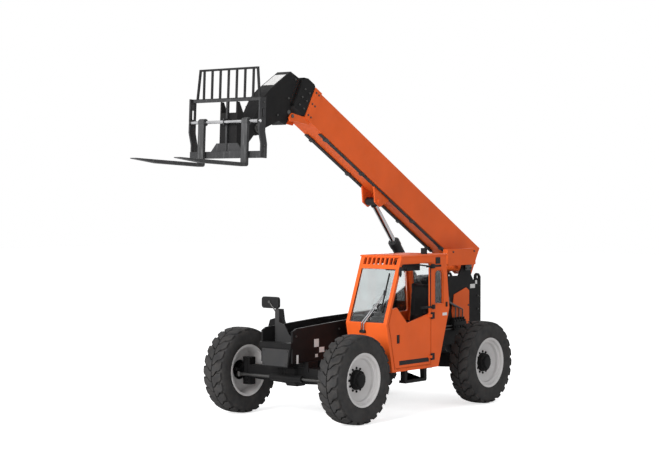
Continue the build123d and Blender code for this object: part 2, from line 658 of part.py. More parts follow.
def tail_x(z):
    # the sloping rear of the cab above its tail
    rear = CAB_FRONT - CAB_LENGTH - CAB_TAIL
    top = CAB_FRONT - CAB_TOP_BACK - CAB_TOP_LENGTH
    return rear + (top - rear) * (z - CAB_TAIL_Z) / (CAB_HIGH - CAB_TAIL_Z)


def door_opening(gap):
    # the doorway's outline, drawn in by a gap for the door that fills its lower part
    low = CAB_LOW + 50 + gap
    rear = DOOR_HINGE_X + 10 + gap
    nose = CAB_FRONT + CAB_NOSE - DOOR_POST - gap
    head = CAB_HIGH - 105
    return [(rear, low), (CAB_FRONT - DOOR_POST - gap, low), (nose, CAB_WAIST), (screen_x(head) - DOOR_POST * 0.9, head),
            (rear, head)]


def quarter_window():
    rear = CAB_FRONT - CAB_LENGTH - 115
    low = CAB_TAIL_Z + 80
    high = CAB_HIGH - 225
    return [(rear + 200, low), (rear + 200, high), (rear + 30, high), (rear, high - 60), (rear, low)]


def right_window():
    low = CAB_WAIST + 90
    high = CAB_HIGH - 120
    return [(tail_x(low) + 105, low), (screen_x(low) - 65, low - 30), (screen_x(high) - 65, high), (tail_x(high) + 75, high)]


def cab_left():
    shape = plate_y(cab_side_outline(), CAB_OUT - CAB_WALL, CAB_OUT)
    shape -= plate_y(door_opening(0), CAB_OUT - CAB_WALL - 1, CAB_OUT + 1, (3, 4), 40)
    return shape - plate_y(quarter_window(), CAB_OUT - CAB_WALL - 1, CAB_OUT + 1, (1,), 60)


def cab_right():
    shape = plate_y(cab_side_outline(), CAB_IN, CAB_IN + CAB_WALL)
    return shape - plate_y(right_window(), CAB_IN - 1, CAB_IN + CAB_WALL + 1, (0, 1, 2, 3), 40)


def screen_box():
    # the windscreen's low and high edge and its two sides
    y0 = CAB_IN + CAB_WALL + 20
    y1 = CAB_OUT - CAB_WALL - 20
    return CAB_WAIST + 14, CAB_HIGH - HEADER - 63, y0, y1


def slat_pitch():
    return (CAB_OUT - CAB_IN - 2 * CAB_WALL - SLAT_WIDTH) / (SLATS - 1)


def slat_places():
    # the lower Y of each slat, over the windscreen and on the roof
    return [CAB_IN + CAB_WALL + slat_pitch() * k for k in range(SLATS)]


def cab_front():
    # the lower front panel and the sloping windscreen frame above it, folded at the waist
    f = CAB_FRONT
    low, high, y0, y1 = screen_box()
    outline = [(f, CAB_LOW), (f + CAB_NOSE, CAB_WAIST), (screen_x(CAB_HIGH - 1), CAB_HIGH - 1),
               (screen_x(CAB_HIGH - 1) - CAB_WALL, CAB_HIGH - 1), (f + CAB_NOSE - CAB_WALL, CAB_WAIST), (f - CAB_WALL, CAB_LOW)]
    shape = plate_y(outline, CAB_IN + CAB_WALL, CAB_OUT - CAB_WALL)
    shape -= block(f - 500, f + 300, y0, y1, low, high)
    for y in slat_places()[:-1]:
        shape -= block(f - 500, f + 300, y + SLAT_WIDTH, y + slat_pitch(), CAB_HIGH - HEADER, CAB_HIGH - 14)
    return shape


def cab_rear():
    f = CAB_FRONT
    y0 = CAB_IN + CAB_WALL
    y1 = CAB_OUT - CAB_WALL
    rear = f - CAB_LENGTH
    tail = rear - CAB_TAIL
    high = CAB_HIGH - 1
    shape = plate_y([(rear, CAB_LOW), (tail, CAB_TAIL_Z), (tail_x(high), high), (tail_x(high) + CAB_WALL, high),
                     (tail + CAB_WALL, CAB_TAIL_Z), (rear + CAB_WALL, CAB_LOW)], y0, y1)
    return shape - block(tail - 100, tail + 300, y0 + 70, y1 - 70, CAB_TAIL_Z + 70, CAB_HIGH - 135)


def cab_floor():
    return block(CAB_FRONT - CAB_LENGTH + CAB_WALL + 2, CAB_FRONT - CAB_WALL, CAB_IN + CAB_WALL, CAB_OUT - CAB_WALL,
                 CAB_LOW, CAB_LOW + 40)


def cab_roof():
    # a roof plate with folded sides, open at the front, where slats run on to the head of the windscreen
    f = CAB_FRONT
    rear = f - CAB_TOP_BACK - CAB_TOP_LENGTH - 30
    bend = f - 520
    top = CAB_HIGH + ROOF_THICK
    lip = screen_x(CAB_HIGH) + 20
    shape = block(rear, bend, CAB_IN - 10, CAB_OUT + 10, CAB_HIGH, top)
    shape += block(lip - 40, lip, CAB_IN - 10, CAB_OUT + 10, CAB_HIGH, top)
    shape += block(bend - 1, lip - 39, CAB_OUT - CAB_WALL, CAB_OUT + 10, CAB_HIGH, top)
    shape += block(bend - 1, lip - 39, CAB_IN - 10, CAB_IN + CAB_WALL, CAB_HIGH, top)
    shape = chamfer(shape.edges().group_by(Axis.Z)[-1].filter_by(lambda e: e.length > ROOF_THICK * 20), ROOF_THICK * 0.5)
    for y in slat_places()[1:-1]:
        shape += block(bend - 1, lip - 39, y, y + SLAT_WIDTH, CAB_HIGH, top - 5)
    return shape


def cab_glass():
    low, high, y0, y1 = screen_box()
    inset = 12
    screen = plate_y([(screen_x(low) - inset, low), (screen_x(high) - inset, high),
                      (screen_x(high) - inset - GLASS, high), (screen_x(low) - inset - GLASS, low)], y0, y1)
    rear_low = CAB_TAIL_Z + 70
    rear_high = CAB_HIGH - 135
    back = plate_y([(tail_x(rear_low) + inset, rear_low), (tail_x(rear_high) + inset, rear_high),
                    (tail_x(rear_high) + inset + GLASS, rear_high), (tail_x(rear_low) + inset + GLASS, rear_low)],
                   CAB_IN + CAB_WALL + 70, CAB_OUT - CAB_WALL - 70)
    side_y = CAB_OUT - CAB_WALL * 0.6
    side = plate_y(quarter_window(), side_y, side_y + GLASS, (1,), 60)
    right_y = CAB_IN + CAB_WALL * 0.4
    right = plate_y(right_window(), right_y, right_y + GLASS, (0, 1, 2, 3), 40)
    return Compound([screen, back, side, right])


def hinge_heights():
    return CAB_LOW + 765, CAB_LOW + 145


def door_edge(gap):
    # the half door: the doorway's lower part under a V-shaped sill
    rear, low = door_opening(gap)[0]
    front = door_opening(gap)[1][0]
    nose = door_opening(gap)[2][0]
    post = nose - (nose - door_opening(gap)[3][0]) * 0.25
    return [(rear, low), (front, low), (nose, CAB_WAIST), (post, CAB_WAIST + 215 - gap), (post - 115, CAB_WAIST + 235 - gap),
            (CAB_FRONT - 373, CAB_WAIST - 10 - gap), (rear, CAB_WAIST + 105 - gap)]


def door():
    # a pressed panel with a folded edge, hinged at its rear on two knuckles
    shape = plate_y(door_edge(DOOR_GAP), CAB_OUT - 36, CAB_OUT - 2)
    shape -= plate_y(door_edge(DOOR_GAP + 42), CAB_OUT - 40, CAB_OUT - 12)
    shape -= block(CAB_FRONT - 190, CAB_FRONT - 110, CAB_OUT - 10, CAB_OUT + 1, CAB_LOW + 415, CAB_LOW + 550)
    for z in hinge_heights():
        shape += block(DOOR_HINGE_X + 20, DOOR_HINGE_X + 70, CAB_OUT - 4, DOOR_HINGE_Y, z, z + HINGE_HIGH)
        shape += block(DOOR_HINGE_X, DOOR_HINGE_X + 30, DOOR_HINGE_Y - 5, DOOR_HINGE_Y + 5, z, z + HINGE_HIGH)
        shape += bar_z(DOOR_HINGE_X, DOOR_HINGE_Y, HINGE_PIN_R + 5, z, z + HINGE_HIGH, 12)
        shape -= bar_z(DOOR_HINGE_X, DOOR_HINGE_Y, bore_r(HINGE_PIN_R, 12), z - 1, z + HINGE_HIGH + 1, 12)
    return shape


def cab_trim():
    # door hinge leaves with their pins, two straps on the rear post, a vent block and a lamp block on the roof
    x = DOOR_HINGE_X
    shape = block(x - 90, x - 20, CAB_OUT - 205, CAB_OUT - 135, CAB_HIGH + ROOF_THICK, CAB_HIGH + ROOF_THICK + 90)
    shape += block(x - 230, x - 120, CAB_OUT, CAB_OUT + 10, CAB_HIGH - 120, CAB_HIGH - 25)
    for z in (CAB_HIGH - 160, CAB_WAIST + 175):
        shape += block(x - 75, x + 5, CAB_OUT, CAB_OUT + 12, z, z + 32)
    for z in hinge_heights():
        leaf = block(x - 90, x - 20, CAB_OUT, CAB_OUT + 8, z - 30, z + HINGE_HIGH + 30)
        leaf += block(x - 30, x + 11, CAB_OUT + 3, DOOR_HINGE_Y + 11, z - 30, z - 4)
        leaf += block(x - 30, x + 11, CAB_OUT + 3, DOOR_HINGE_Y + 11, z + HINGE_HIGH + 4, z + HINGE_HIGH + 30)
        shape += leaf + bar_z(x, DOOR_HINGE_Y, HINGE_PIN_R, z - 10, z + HINGE_HIGH + 10)
    return shape


def step():
    # a bent bar step under the doorway
    x0 = DOOR_HINGE_X + 90
    x1 = x0 + 560
    z0 = CAB_LOW - 190
    outer = [(x0, CAB_LOW), (x0, z0), (x1, z0), (x1, CAB_LOW), (x1 - 75, CAB_LOW), (x1 - 60, z0 + 45), (x0 + 60, z0 + 45),
             (x0 + 75, CAB_LOW)]
    shape = plate_y(outer, CAB_OUT - 90, CAB_OUT - 10, (1, 2), 30)
    return shape + block(x0 + 30, x1 - 30, CAB_OUT - 140, CAB_OUT - 20, z0, z0 + 40)


def seat():
    # a suspension box, a cushion and a high back, apart from each other where the cover is seamed
    x = CAB_FRONT - CAB_LENGTH
    y0, y1 = 610, 1050
    low = CAB_LOW + 330
    base = block(x + 60, x + 440, y0 + 30, y1 - 30, CAB_LOW + 40, low)
    cushion = plate_y([(x + 10, low), (x + 500, low), (x + 520, low + 70), (x + 470, low + 115), (x + 10, low + 95)], y0, y1)
    back = plate_y([(x - 30, low + 60), (x + 9.5, low + 60), (x + 9.5, low + 97), (x + 75, low + 97), (x - 5, low + 840),
                    (x - 50, low + 1000), (x - 110, low + 1000), (x - 130, low + 840)], y0, y1, (5, 6), 30)
    return Compound([base, cushion, back])


def steering():
    # a column from the floor, and a three-spoked wheel square to its shaft
    x, y, z = CAB_FRONT - 310, 830, CAB_WAIST + 150
    low = CAB_LOW + 40
    column = plate_y([(x + 110, low), (x + 220, low), (x + 80, z - 20), (x + 20, z - 60)], y - 45, y + 45)
    ring = turned([(-13, 175), (0, 190), (13, 175), (0, 160)], 16)
    ring += turned([(-30, 0), (-30, 42), (18, 42), (18, 0)], 12)
    for k in range(3):
        ring += Rot(0, 120 * k, 0) * block(30, 172, -6, 6, -16, 16)
    placed = Pos(x, y, z) * Rot(0, -40, 0) * Rot(90, 0, 0) * ring
    return column + placed + bar((x, y, z), (x + 64, y, z - 77), 25, 12)


def console():
    # a dash shelf under the windscreen, a lever box beside the seat, and a heater box under the roof
    f = CAB_FRONT
    y0 = CAB_IN + CAB_WALL
    y1 = CAB_OUT - CAB_WALL - 5
    z = CAB_WAIST
    dash = plate_y([(f + 40, z - 160), (f + 85, z - 5), (f + 60, z + 90), (f - 60, z + 110), (f - 130, z + 60),
                    (f - 50, z - 110)], y0, y1)
    lever_box = plate_y([(f - 990, CAB_LOW + 40), (f - 490, CAB_LOW + 40), (f - 450, z - 130), (f - 560, z - 80),
                         (f - 990, z - 160)], y0, y0 + 85)
    heater = block(f - 850, f - 510, y0 + 200, y1 - 70, CAB_HIGH - 215, CAB_HIGH)
    return Compound([dash, lever_box, heater])


def cab_mounts():
    x = CAB_FRONT - CAB_LENGTH
    shape = block(x + 100, x + 200, PLATE_OUT, CAB_IN, CAB_LOW + 10, CAB_LOW + 170)
    return shape + block(x + 930, x + 1030, PLATE_OUT, CAB_IN, CAB_LOW + 10, CAB_LOW + 170)


def oil_tank():
    # a slim tank on the frame plate, behind and inboard of the cab, with a filler neck
    x0 = TYRE_OD / 2 + 120
    x1 = x0 + 530
    z0 = CAB_LOW + 190
    shape = block(x0, x1, PLATE_OUT, CAB_IN - 10, z0, z0 + 420)
    shape = chamfer(shape.edges().filter_by(Axis.X), 30)
    return shape + bar_z(x0 + 90, (PLATE_OUT + CAB_IN) / 2, 42, z0 + 419, z0 + 470, 12)


def engine_cradle():
    return block(HOOD_X0, HOOD_X1, -HOOD_OUT, -PLATE_OUT, HOOD_LOW - CRADLE_THICK, HOOD_LOW)


def engine():
    return block(HOOD_X0 + 180, HOOD_X1 - 240, -HOOD_OUT + 150, -PLATE_OUT - 100, HOOD_LOW, HOOD_HIGH - 120)


def hood_outline(wall):
    inside = -PLATE_OUT - 20
    out = -HOOD_OUT + wall
    high = HOOD_HIGH - wall
    return [(inside, HOOD_LOW), (inside, high), (out + 170, high), (out, high - 170), (out, HOOD_LOW)]


def hood():
    # an engine hood with a rounded outer shoulder, louvred on its side and at its front
    shape = plate_x(hood_outline(0), HOOD_X0, HOOD_X1, (2, 3), 160)
    inside = -PLATE_OUT - 20
    hollow = hood_outline(HOOD_WALL)
    hollow = [(inside - HOOD_WALL, HOOD_LOW - 1), (inside - HOOD_WALL, hollow[1][1])] + hollow[2:4] + [(hollow[4][0], HOOD_LOW - 1)]
    shape -= plate_x(hollow, HOOD_X0 + HOOD_WALL, HOOD_X1 - HOOD_WALL, (2, 3), 155)
    length = HOOD_X1 - HOOD_X0
    for k in range(LOUVRES):
        z = HOOD_LOW + 70 + 48 * k
        for x in (HOOD_X0 + length * 0.12, HOOD_X0 + length * 0.56):
            shape -= block(x, x + length * 0.32, -HOOD_OUT - 1, -HOOD_OUT + HOOD_WALL + 1, z, z + 22)
    return shape


def exhaust():
    # a short stack on the hood's top with a foot ring and a slanted outlet
    x = HOOD_X0 + 130
    y = -PLATE_OUT - 180
    top = HOOD_HIGH + STACK_HEIGHT
    shape = bar_z(x, y, 64, HOOD_HIGH, HOOD_HIGH + 60, ROUND_SIDES) + bar_z(x, y, 46, HOOD_HIGH + 59, top, ROUND_SIDES)
    cut = plate_y([(x - 60, top + 1), (x + 60, top + 1), (x - 60, top - 60)], y - 60, y + 60)
    return shape - cut - bar_z(x, y, 40, HOOD_HIGH + 70, top + 1, ROUND_SIDES)


def mirror_post():
    # a flared cross plate beside the boom, cut by the right frame plate that carries it
    y = -PLATE_OUT
    flare = [(y - 390, POST_LOW), (y + 145, POST_LOW), (y + 145, POST_LOW + 50), (y - 25, POST_LOW + 190), (y - 75, POST_LOW + 320),
             (y - 98, POST_TOP), (y - 239, POST_TOP), (y - 245, POST_LOW + 340), (y - 353, POST_LOW + 310), (y - 390, POST_LOW + 200)]
    shape = plate_x(flare, MIRROR_X - POST_THICK, MIRROR_X, (3, 4), 90)
    return shape - block(MIRROR_X - POST_THICK - 1, MIRROR_X + 1, y, -FRAME_HALF, POST_LOW - 1, POST_LOW + 330)


def mirror_head():
    # a rounded mirror shell, and the short arm that holds it over the post
    y0 = -PLATE_OUT - 477
    y1 = -PLATE_OUT - 145
    z0 = POST_TOP + 4
    z1 = POST_TOP + 177
    outline = [(y0, z0), (y1, z0), (y1, z1), (y0, z1)]
    shape = plate_x(outline, MIRROR_X, MIRROR_X + 45, (0, 1, 2, 3), 45)
    return shape + block(MIRROR_X, MIRROR_X + 20, y1 - 70, y1 - 40, POST_TOP - 70, z0 + 20)


def build():
    parts = {
        "main_frame": main_frame(), "front_axle": axle(WHEELBASE, 1), "rear_axle": axle(0, -1),
        "side_cover": side_cover(), "pivot_cover": pivot_cover(), "mirror_post": mirror_post(),
        "mirror_head": mirror_head(), "engine_cradle": engine_cradle(), "engine_block": engine(),
        "engine_hood": hood(), "exhaust_stack": exhaust(), "oil_tank": oil_tank(),
        "cab_mounts": cab_mounts(), "cab_floor": cab_floor(), "cab_left": cab_left(), "cab_right": cab_right(),
        "cab_front": cab_front(), "cab_rear": cab_rear(), "cab_roof": cab_roof(), "cab_glass": cab_glass(),
        "cab_trim": cab_trim(), "cab_step": step(), "cab_seat": seat(), "cab_steering": steering(),
        "cab_console": console(), "cab_door": door(), "boom_outer": boom_outer(), "boom_lines": boom_lines(),
        "boom_mid": boom_mid(), "mid_collar": mid_collar(), "boom_fly": boom_fly(), "boom_nose": boom_nose(),
        "coupler": coupler(), "carriage_frame": carriage_frame(), "fork_shaft": fork_shaft(),
        "fork_left": fork(1), "fork_right": fork(-1), "lift_barrel": lift_barrel(), "lift_rod": lift_rod(),
        "steer_rod_front": steer_rod(WHEELBASE, 1), "steer_rod_rear": steer_rod(0, -1),
    }
    left_tyre = tyre()
    left_rim = rim()
    for name, x, y in wheel_places():
        place = Pos(x, y, AXLE_Z)
        parts["tyre_" + name] = place * (left_tyre if y > 0 else mirrored(left_tyre))
        parts["rim_" + name] = place * (left_rim if y > 0 else mirrored(left_rim))
        parts["knuckle_" + name] = knuckle(x, y, 1 if x > 0 else -1)
    return parts


def origin_shift(parts):
    # moves the middle of the bottom of the whole machine to the origin
    box = Compound(list(parts.values())).bounding_box()
    return Vector(-(box.min.X + box.max.X) / 2, -(box.min.Y + box.max.Y) / 2, -box.min.Z)


def main():
    parts = build()
    shift = Pos(origin_shift(parts))
    os.makedirs("parts", exist_ok=True)
    for name, shape in parts.items():
        export_step(shift * shape, "parts/" + name + ".step")
        print(name, len(shape.solids()))


if __name__ == "__main__":
    main()
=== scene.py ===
# %% [markdown]
# # A telehandler
# A telehandler is a lifting machine with a telescoping boom that starts behind the operator and reaches
# out over the front wheels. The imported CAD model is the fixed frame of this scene: it gives the sizes and
# the motion. Each step below gives one group of pieces its looks, either with a finish and rounded edges
# on the CAD solid, or with a finer mesh in its place.

# %% Load the frame
import json
from math import cos, pi, radians, sin

import bmesh
import bpy
from mathutils import Matrix, Vector


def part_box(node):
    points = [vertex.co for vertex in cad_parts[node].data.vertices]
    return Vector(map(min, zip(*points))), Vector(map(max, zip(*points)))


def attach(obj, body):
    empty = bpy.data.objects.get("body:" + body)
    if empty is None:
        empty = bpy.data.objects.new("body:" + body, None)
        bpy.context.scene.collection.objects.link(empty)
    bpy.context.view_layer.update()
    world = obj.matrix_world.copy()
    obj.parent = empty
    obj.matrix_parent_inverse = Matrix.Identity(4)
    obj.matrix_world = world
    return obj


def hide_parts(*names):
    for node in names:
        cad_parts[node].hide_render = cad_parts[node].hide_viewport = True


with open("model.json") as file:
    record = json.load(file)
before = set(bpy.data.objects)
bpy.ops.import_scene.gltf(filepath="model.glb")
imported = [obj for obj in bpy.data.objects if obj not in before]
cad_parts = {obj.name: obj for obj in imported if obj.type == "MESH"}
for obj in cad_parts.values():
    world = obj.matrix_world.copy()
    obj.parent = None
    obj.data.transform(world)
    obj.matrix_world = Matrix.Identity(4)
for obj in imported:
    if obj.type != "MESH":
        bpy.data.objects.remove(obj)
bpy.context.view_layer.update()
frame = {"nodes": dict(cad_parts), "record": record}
nodes = frame["nodes"]
joints = {joint["name"]: joint for joint in frame["record"]["behaviour"]["joints"]}

# %% [markdown]
# ## Where things are
# The CAD source measures from the rear axle, and so does this script: `at` turns such a place into the
# scene's. The boom is inclined, so its own pieces are easier to place along it. A matrix whose columns
# are the boom's length, its width and its height, with the pivot pin as its origin, does that.

# %% Places on the machine and on the boom
ACROSS = Vector((0, 1, 0))


def box_corners(node):
    # the low and the high corner of a CAD node
    return tuple(Vector(corner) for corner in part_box(node))


def at(x, y, z):
    return Vector((REAR_AXLE_X + x, y, z))


def boom_at(u, y, v):
    # a place on the boom: along it from the pivot pin, to the left, and up from the pin
    return on_boom @ Vector((u, y, v))


def axes_at(origin, along):
    # a placing matrix: local X runs along a direction, Y across the machine, Z square to both
    turn = Matrix((along, ACROSS, along.cross(ACROSS))).transposed().to_4x4()
    return Matrix.Translation(origin) @ turn


rear_low, rear_high = box_corners("rim_rl")
REAR_AXLE_X = (rear_low.x + rear_high.x) / 2
AXLE_Z = (rear_low.z + rear_high.z) / 2
boom_along = Vector(joints["boom_extend"]["axis"]).normalized()
on_boom = axes_at(Vector(joints["boom_lift"]["pos_m"]), boom_along)
boom_up = on_boom.to_3x3() @ Vector((0, 0, 1))
lift_along = Vector(joints["lift_stroke"]["axis"]).normalized()
on_lift = axes_at(Vector(joints["lift_swing"]["pos_m"]), lift_along)
print("rear axle at", round(REAR_AXLE_X, 4), "boom points along", tuple(round(v, 3) for v in boom_along))

# %% [markdown]
# ## The camera
# The photograph was taken from the machine's front left, almost level and from far away, so the lens is
# long. Its place was found by fitting a camera to the four wheels.

# %% Camera
EYE = at(22.238, 15.937, 3.340)
AIM = at(2.457, 0.0, 2.721)


def looking(place, aim):
    # a placing matrix for a camera or a lamp, which look along their own -Z
    return Matrix.Translation(place) @ (aim - place).to_track_quat("-Z", "Y").to_matrix().to_4x4()


camera_data = bpy.data.cameras.new("photo_camera")
camera_data.lens = 92.0
camera_data.sensor_width = 36.0
camera_data.clip_end = 200.0
camera = bpy.data.objects.new("photo_camera", camera_data)
camera.matrix_world = looking(EYE, AIM)
bpy.context.collection.objects.link(camera)
bpy.context.scene.camera = camera
bpy.context.scene.view_settings.view_transform = "Standard"
print("camera is", round((EYE - AIM).length, 2), "m away")

# %% [markdown]
# ## Studio
# A white cut-out photograph has no horizon. The world shows plain white to the camera and in reflections,
# and a softer light to everything else. The floor adds some white of its own for the camera only, so it
# stays pale, keeps the soft shadow under the machine, and throws no extra light up at it.

# %% World
WORLD_LIGHT = 0.40


def set_inputs(node, values):
    for name, value in values.items():
        node.inputs[name].default_value = value


def add_seen(tree, *kinds):
    # 1 for a light ray of any of these kinds, 0 for the others
    rays = tree.nodes.new("ShaderNodeLightPath")
    seen = rays.outputs[kinds[0]]
    for kind in kinds[1:]:
        either = tree.nodes.new("ShaderNodeMath")
        either.operation = "MAXIMUM"
        tree.links.new(seen, either.inputs[0])
        tree.links.new(rays.outputs[kind], either.inputs[1])
        seen = either.outputs[0]
    return seen


world = bpy.data.worlds.new("studio")
bpy.context.scene.world = world
world.use_nodes = True
world_nodes = world.node_tree.nodes
background = world_nodes["Background"]
set_inputs(background, {"Color": (0.96, 0.98, 1.0, 1), "Strength": WORLD_LIGHT})
plain_white = world_nodes.new("ShaderNodeBackground")
set_inputs(plain_white, {"Color": (1, 1, 1, 1)})
world_mix = world_nodes.new("ShaderNodeMixShader")
world_seen = add_seen(world.node_tree, "Is Camera Ray", "Is Glossy Ray", "Is Transmission Ray")
tie = world.node_tree.links.new
tie(world_seen, world_mix.inputs["Fac"])
tie(background.outputs[0], world_mix.inputs[1])
tie(plain_white.outputs[0], world_mix.inputs[2])
tie(world_mix.outputs[0], world_nodes["World Output"].inputs["Surface"])
print("world lights by", WORLD_LIGHT)

# %% Lamps
LAMP_AIM = at(2, 0, 1.8)
lamps = [
    ("key", at(16.0, 0.5, 6.5), 8.0, 2300.0),
    ("side", at(2.0, 14.0, 8.0), 9.0, 340.0),
    ("back", at(-9.0, -7.0, 8.0), 8.0, 350.0),
]
for name, place, width, power in lamps:
    lamp_data = bpy.data.lights.new(name, "AREA")
    lamp_data.size = width
    lamp_data.energy = power
    lamp = bpy.data.objects.new(name, lamp_data)
    lamp.matrix_world = looking(place, LAMP_AIM)
    bpy.context.collection.objects.link(lamp)
print("lamps", len(lamps))

# %% Floor
FLOOR_GLOW = 0.66
FLOOR_REACH = 60.0


def add_object(shape, name):
    # turns a bmesh into an object of the scene
    data = bpy.data.meshes.new(name)
    shape.to_mesh(data)
    shape.free()
    thing = bpy.data.objects.new(name, data)
    bpy.context.collection.objects.link(thing)
    return thing


floor_mesh = bmesh.new()
bmesh.ops.create_grid(floor_mesh, x_segments=1, y_segments=1, size=FLOOR_REACH)
floor = add_object(floor_mesh, "floor")
floor_finish = bpy.data.materials.new("pale_floor")
floor_finish.use_nodes = True
floor_tree = floor_finish.node_tree
floor_shader = floor_tree.nodes["Principled BSDF"]
set_inputs(floor_shader, {"Base Color": (0.93, 0.93, 0.93, 1), "Roughness": 0.9,
                          "Emission Color": (1, 1, 1, 1)})
floor_glow = floor_tree.nodes.new("ShaderNodeMath")
floor_glow.operation = "MULTIPLY"
floor_glow.inputs[1].default_value = FLOOR_GLOW
floor_tree.links.new(add_seen(floor_tree, "Is Camera Ray", "Is Transmission Ray"), floor_glow.inputs[0])
floor_tree.links.new(floor_glow.outputs[0], floor_shader.inputs["Emission Strength"])
floor.data.materials.append(floor_finish)
print("floor glows by", FLOOR_GLOW, "to the camera only")

# %% [markdown]
# ## Finishes
# Every finish is made from noise on the object's own coordinates, so nothing has to be unwrapped. Paint
# varies a little in tone and gloss, has the faint orange-peel of a sprayed coat, and takes a film of
# dust. The helpers below hold the few nodes that all the finishes share.

# %% Helpers for finishes
DUST = (0.30, 0.25, 0.20)
finishes = {}


def shade(colour, share):
    return tuple(channel * share for channel in colour)


def start_finish(name, roughness, metallic=0.0):
    # a new finish, kept by its name; the nodes that it starts with are given back
    finish = finishes[name] = bpy.data.materials.new(name)
    finish.use_nodes = True
    shader = finish.node_tree.nodes["Principled BSDF"]
    set_inputs(shader, {"Roughness": roughness, "Metallic": metallic})
    return finish.node_tree, shader


def add_noise(tree, scale, detail=4.0, stretch=(1, 1, 1)):
    coordinates = tree.nodes.new("ShaderNodeTexCoord")
    mapping = tree.nodes.new("ShaderNodeMapping")
    set_inputs(mapping, {"Scale": stretch})
    noise = tree.nodes.new("ShaderNodeTexNoise")
    set_inputs(noise, {"Scale": scale, "Detail": detail})
    tree.links.new(coordinates.outputs["Object"], mapping.inputs["Vector"])
    tree.links.new(mapping.outputs["Vector"], noise.inputs["Vector"])
    return noise.outputs["Fac"]


def add_ramp(tree, value, low, high, start=0.35, end=0.65):
    # turns a noise into a soft step between two colours
    ramp = tree.nodes.new("ShaderNodeValToRGB")
    ramp.color_ramp.elements[0].position = start
    ramp.color_ramp.elements[1].position = end
    ramp.color_ramp.elements[0].color = (*low, 1)
    ramp.color_ramp.elements[1].color = (*high, 1)
    tree.links.new(value, ramp.inputs["Fac"])
    return ramp.outputs["Color"]


def add_range(tree, value, low, high):
    spread = tree.nodes.new("ShaderNodeMapRange")
    set_inputs(spread, {"From Min": 0.3, "From Max": 0.7, "To Min": low, "To Max": high})
    tree.links.new(value, spread.inputs["Value"])
    return spread.outputs["Result"]


def add_mix(tree, factor, first, second):
    mix = tree.nodes.new("ShaderNodeMix")
    mix.data_type = "RGBA"
    tree.links.new(factor, mix.inputs["Factor"])
    tree.links.new(first, mix.inputs["A"])
    mix.inputs["B"].default_value = (*second, 1)
    return mix.outputs["Result"]


def add_bump(tree, shader, height, strength, distance):
    bump = tree.nodes.new("ShaderNodeBump")
    set_inputs(bump, {"Strength": strength, "Distance": distance})
    tree.links.new(height, bump.inputs["Height"])
    tree.links.new(bump.outputs["Normal"], shader.inputs["Normal"])


# %% Paints
def make_paint(name, colour, roughness, dust, shine):
    tree, shader = start_finish(name, roughness)
    body = add_ramp(tree, add_noise(tree, 1.7), shade(colour, 0.93), shade(colour, 1.05))
    film = add_range(tree, add_noise(tree, 5.5, 10.0), 0.0, dust)
    gloss = add_range(tree, add_noise(tree, 9.0, 8.0), roughness - 0.05, roughness + 0.1)
    tree.links.new(add_mix(tree, film, body, DUST), shader.inputs["Base Color"])
    tree.links.new(gloss, shader.inputs["Roughness"])
    set_inputs(shader, {"Specular IOR Level": shine})
    add_bump(tree, shader, add_noise(tree, 420.0, 2.0), 0.05, 0.001)


make_paint("orange_paint", (0.78, 0.118, 0.020), 0.40, 0.015, 0.14)
make_paint("black_paint", (0.008, 0.008, 0.0085), 0.46, 0.012, 0.09)
make_paint("rim_paint", (0.60, 0.585, 0.58), 0.45, 0.08, 0.3)
make_paint("dark_grey", (0.034, 0.034, 0.035), 0.5, 0.02, 0.1)
make_paint("pale_plate", (0.72, 0.71, 0.70), 0.5, 0.05, 0.3)
make_paint("cylinder_paint", (0.011, 0.011, 0.012), 0.36, 0.015, 0.2)
print("paints", len(finishes))


# %% Steels
FRESH_BLACK = (0.008, 0.008, 0.0085)
TOP_BAR_Z = 4.644


def make_steel(name, colour, roughness, streak, stretch):
    # ground or worn steel: fine streaks along the work change its gloss
    tree, shader = start_finish(name, roughness, metallic=1.0)
    body = add_ramp(tree, add_noise(tree, 6.0, 6.0), shade(colour, 0.85), colour)
    tree.links.new(body, shader.inputs["Base Color"])
    fine = add_noise(tree, 60.0, 6.0, stretch)
    tree.links.new(add_range(tree, fine, roughness - streak, roughness + streak), shader.inputs["Roughness"])
    add_bump(tree, shader, fine, 0.08, 0.0005)


make_steel("bright_steel", (0.62, 0.62, 0.63), 0.2, 0.06, (1, 12, 1))
make_steel("dark_steel", (0.10, 0.098, 0.096), 0.48, 0.12, (1, 1, 0.2))
make_steel("engine_iron", (0.12, 0.12, 0.12), 0.6, 0.1, (1, 1, 1))


def make_worn_grey(name, colour, bare, dark_above=None):
    # dark paint that has rubbed down to steel in patches and scratches; above a height it is still black
    tree, shader = start_finish(name, 0.5)
    body = add_ramp(tree, add_noise(tree, 3.0), shade(colour, 0.8), shade(colour, 1.15))
    scratches = add_range(tree, add_noise(tree, 26.0, 12.0, (1, 1, 0.15)), -0.9, 0.45)
    worn = add_mix(tree, scratches, body, bare)
    if dark_above:
        coordinates = tree.nodes.new("ShaderNodeTexCoord")
        split = tree.nodes.new("ShaderNodeSeparateXYZ")
        step = tree.nodes.new("ShaderNodeMath")
        step.operation = "GREATER_THAN"
        step.inputs[1].default_value = dark_above
        tree.links.new(coordinates.outputs["Object"], split.inputs["Vector"])
        tree.links.new(split.outputs["Z"], step.inputs[0])
        worn = add_mix(tree, step.outputs[0], worn, FRESH_BLACK)
    tree.links.new(worn, shader.inputs["Base Color"])
    tree.links.new(add_range(tree, add_noise(tree, 14.0, 8.0), 0.40, 0.62), shader.inputs["Roughness"])
    set_inputs(shader, {"Specular IOR Level": 0.2})
    add_bump(tree, shader, add_noise(tree, 180.0, 6.0), 0.08, 0.001)


make_worn_grey("grey_steel", (0.045, 0.045, 0.046), (0.12, 0.12, 0.12))
make_worn_grey("carriage_steel", (0.028, 0.028, 0.029), (0.10, 0.10, 0.10), TOP_BAR_Z)
print("steels ready")


# %% Rubber, plastic, vinyl and glass
DULL = 0.15


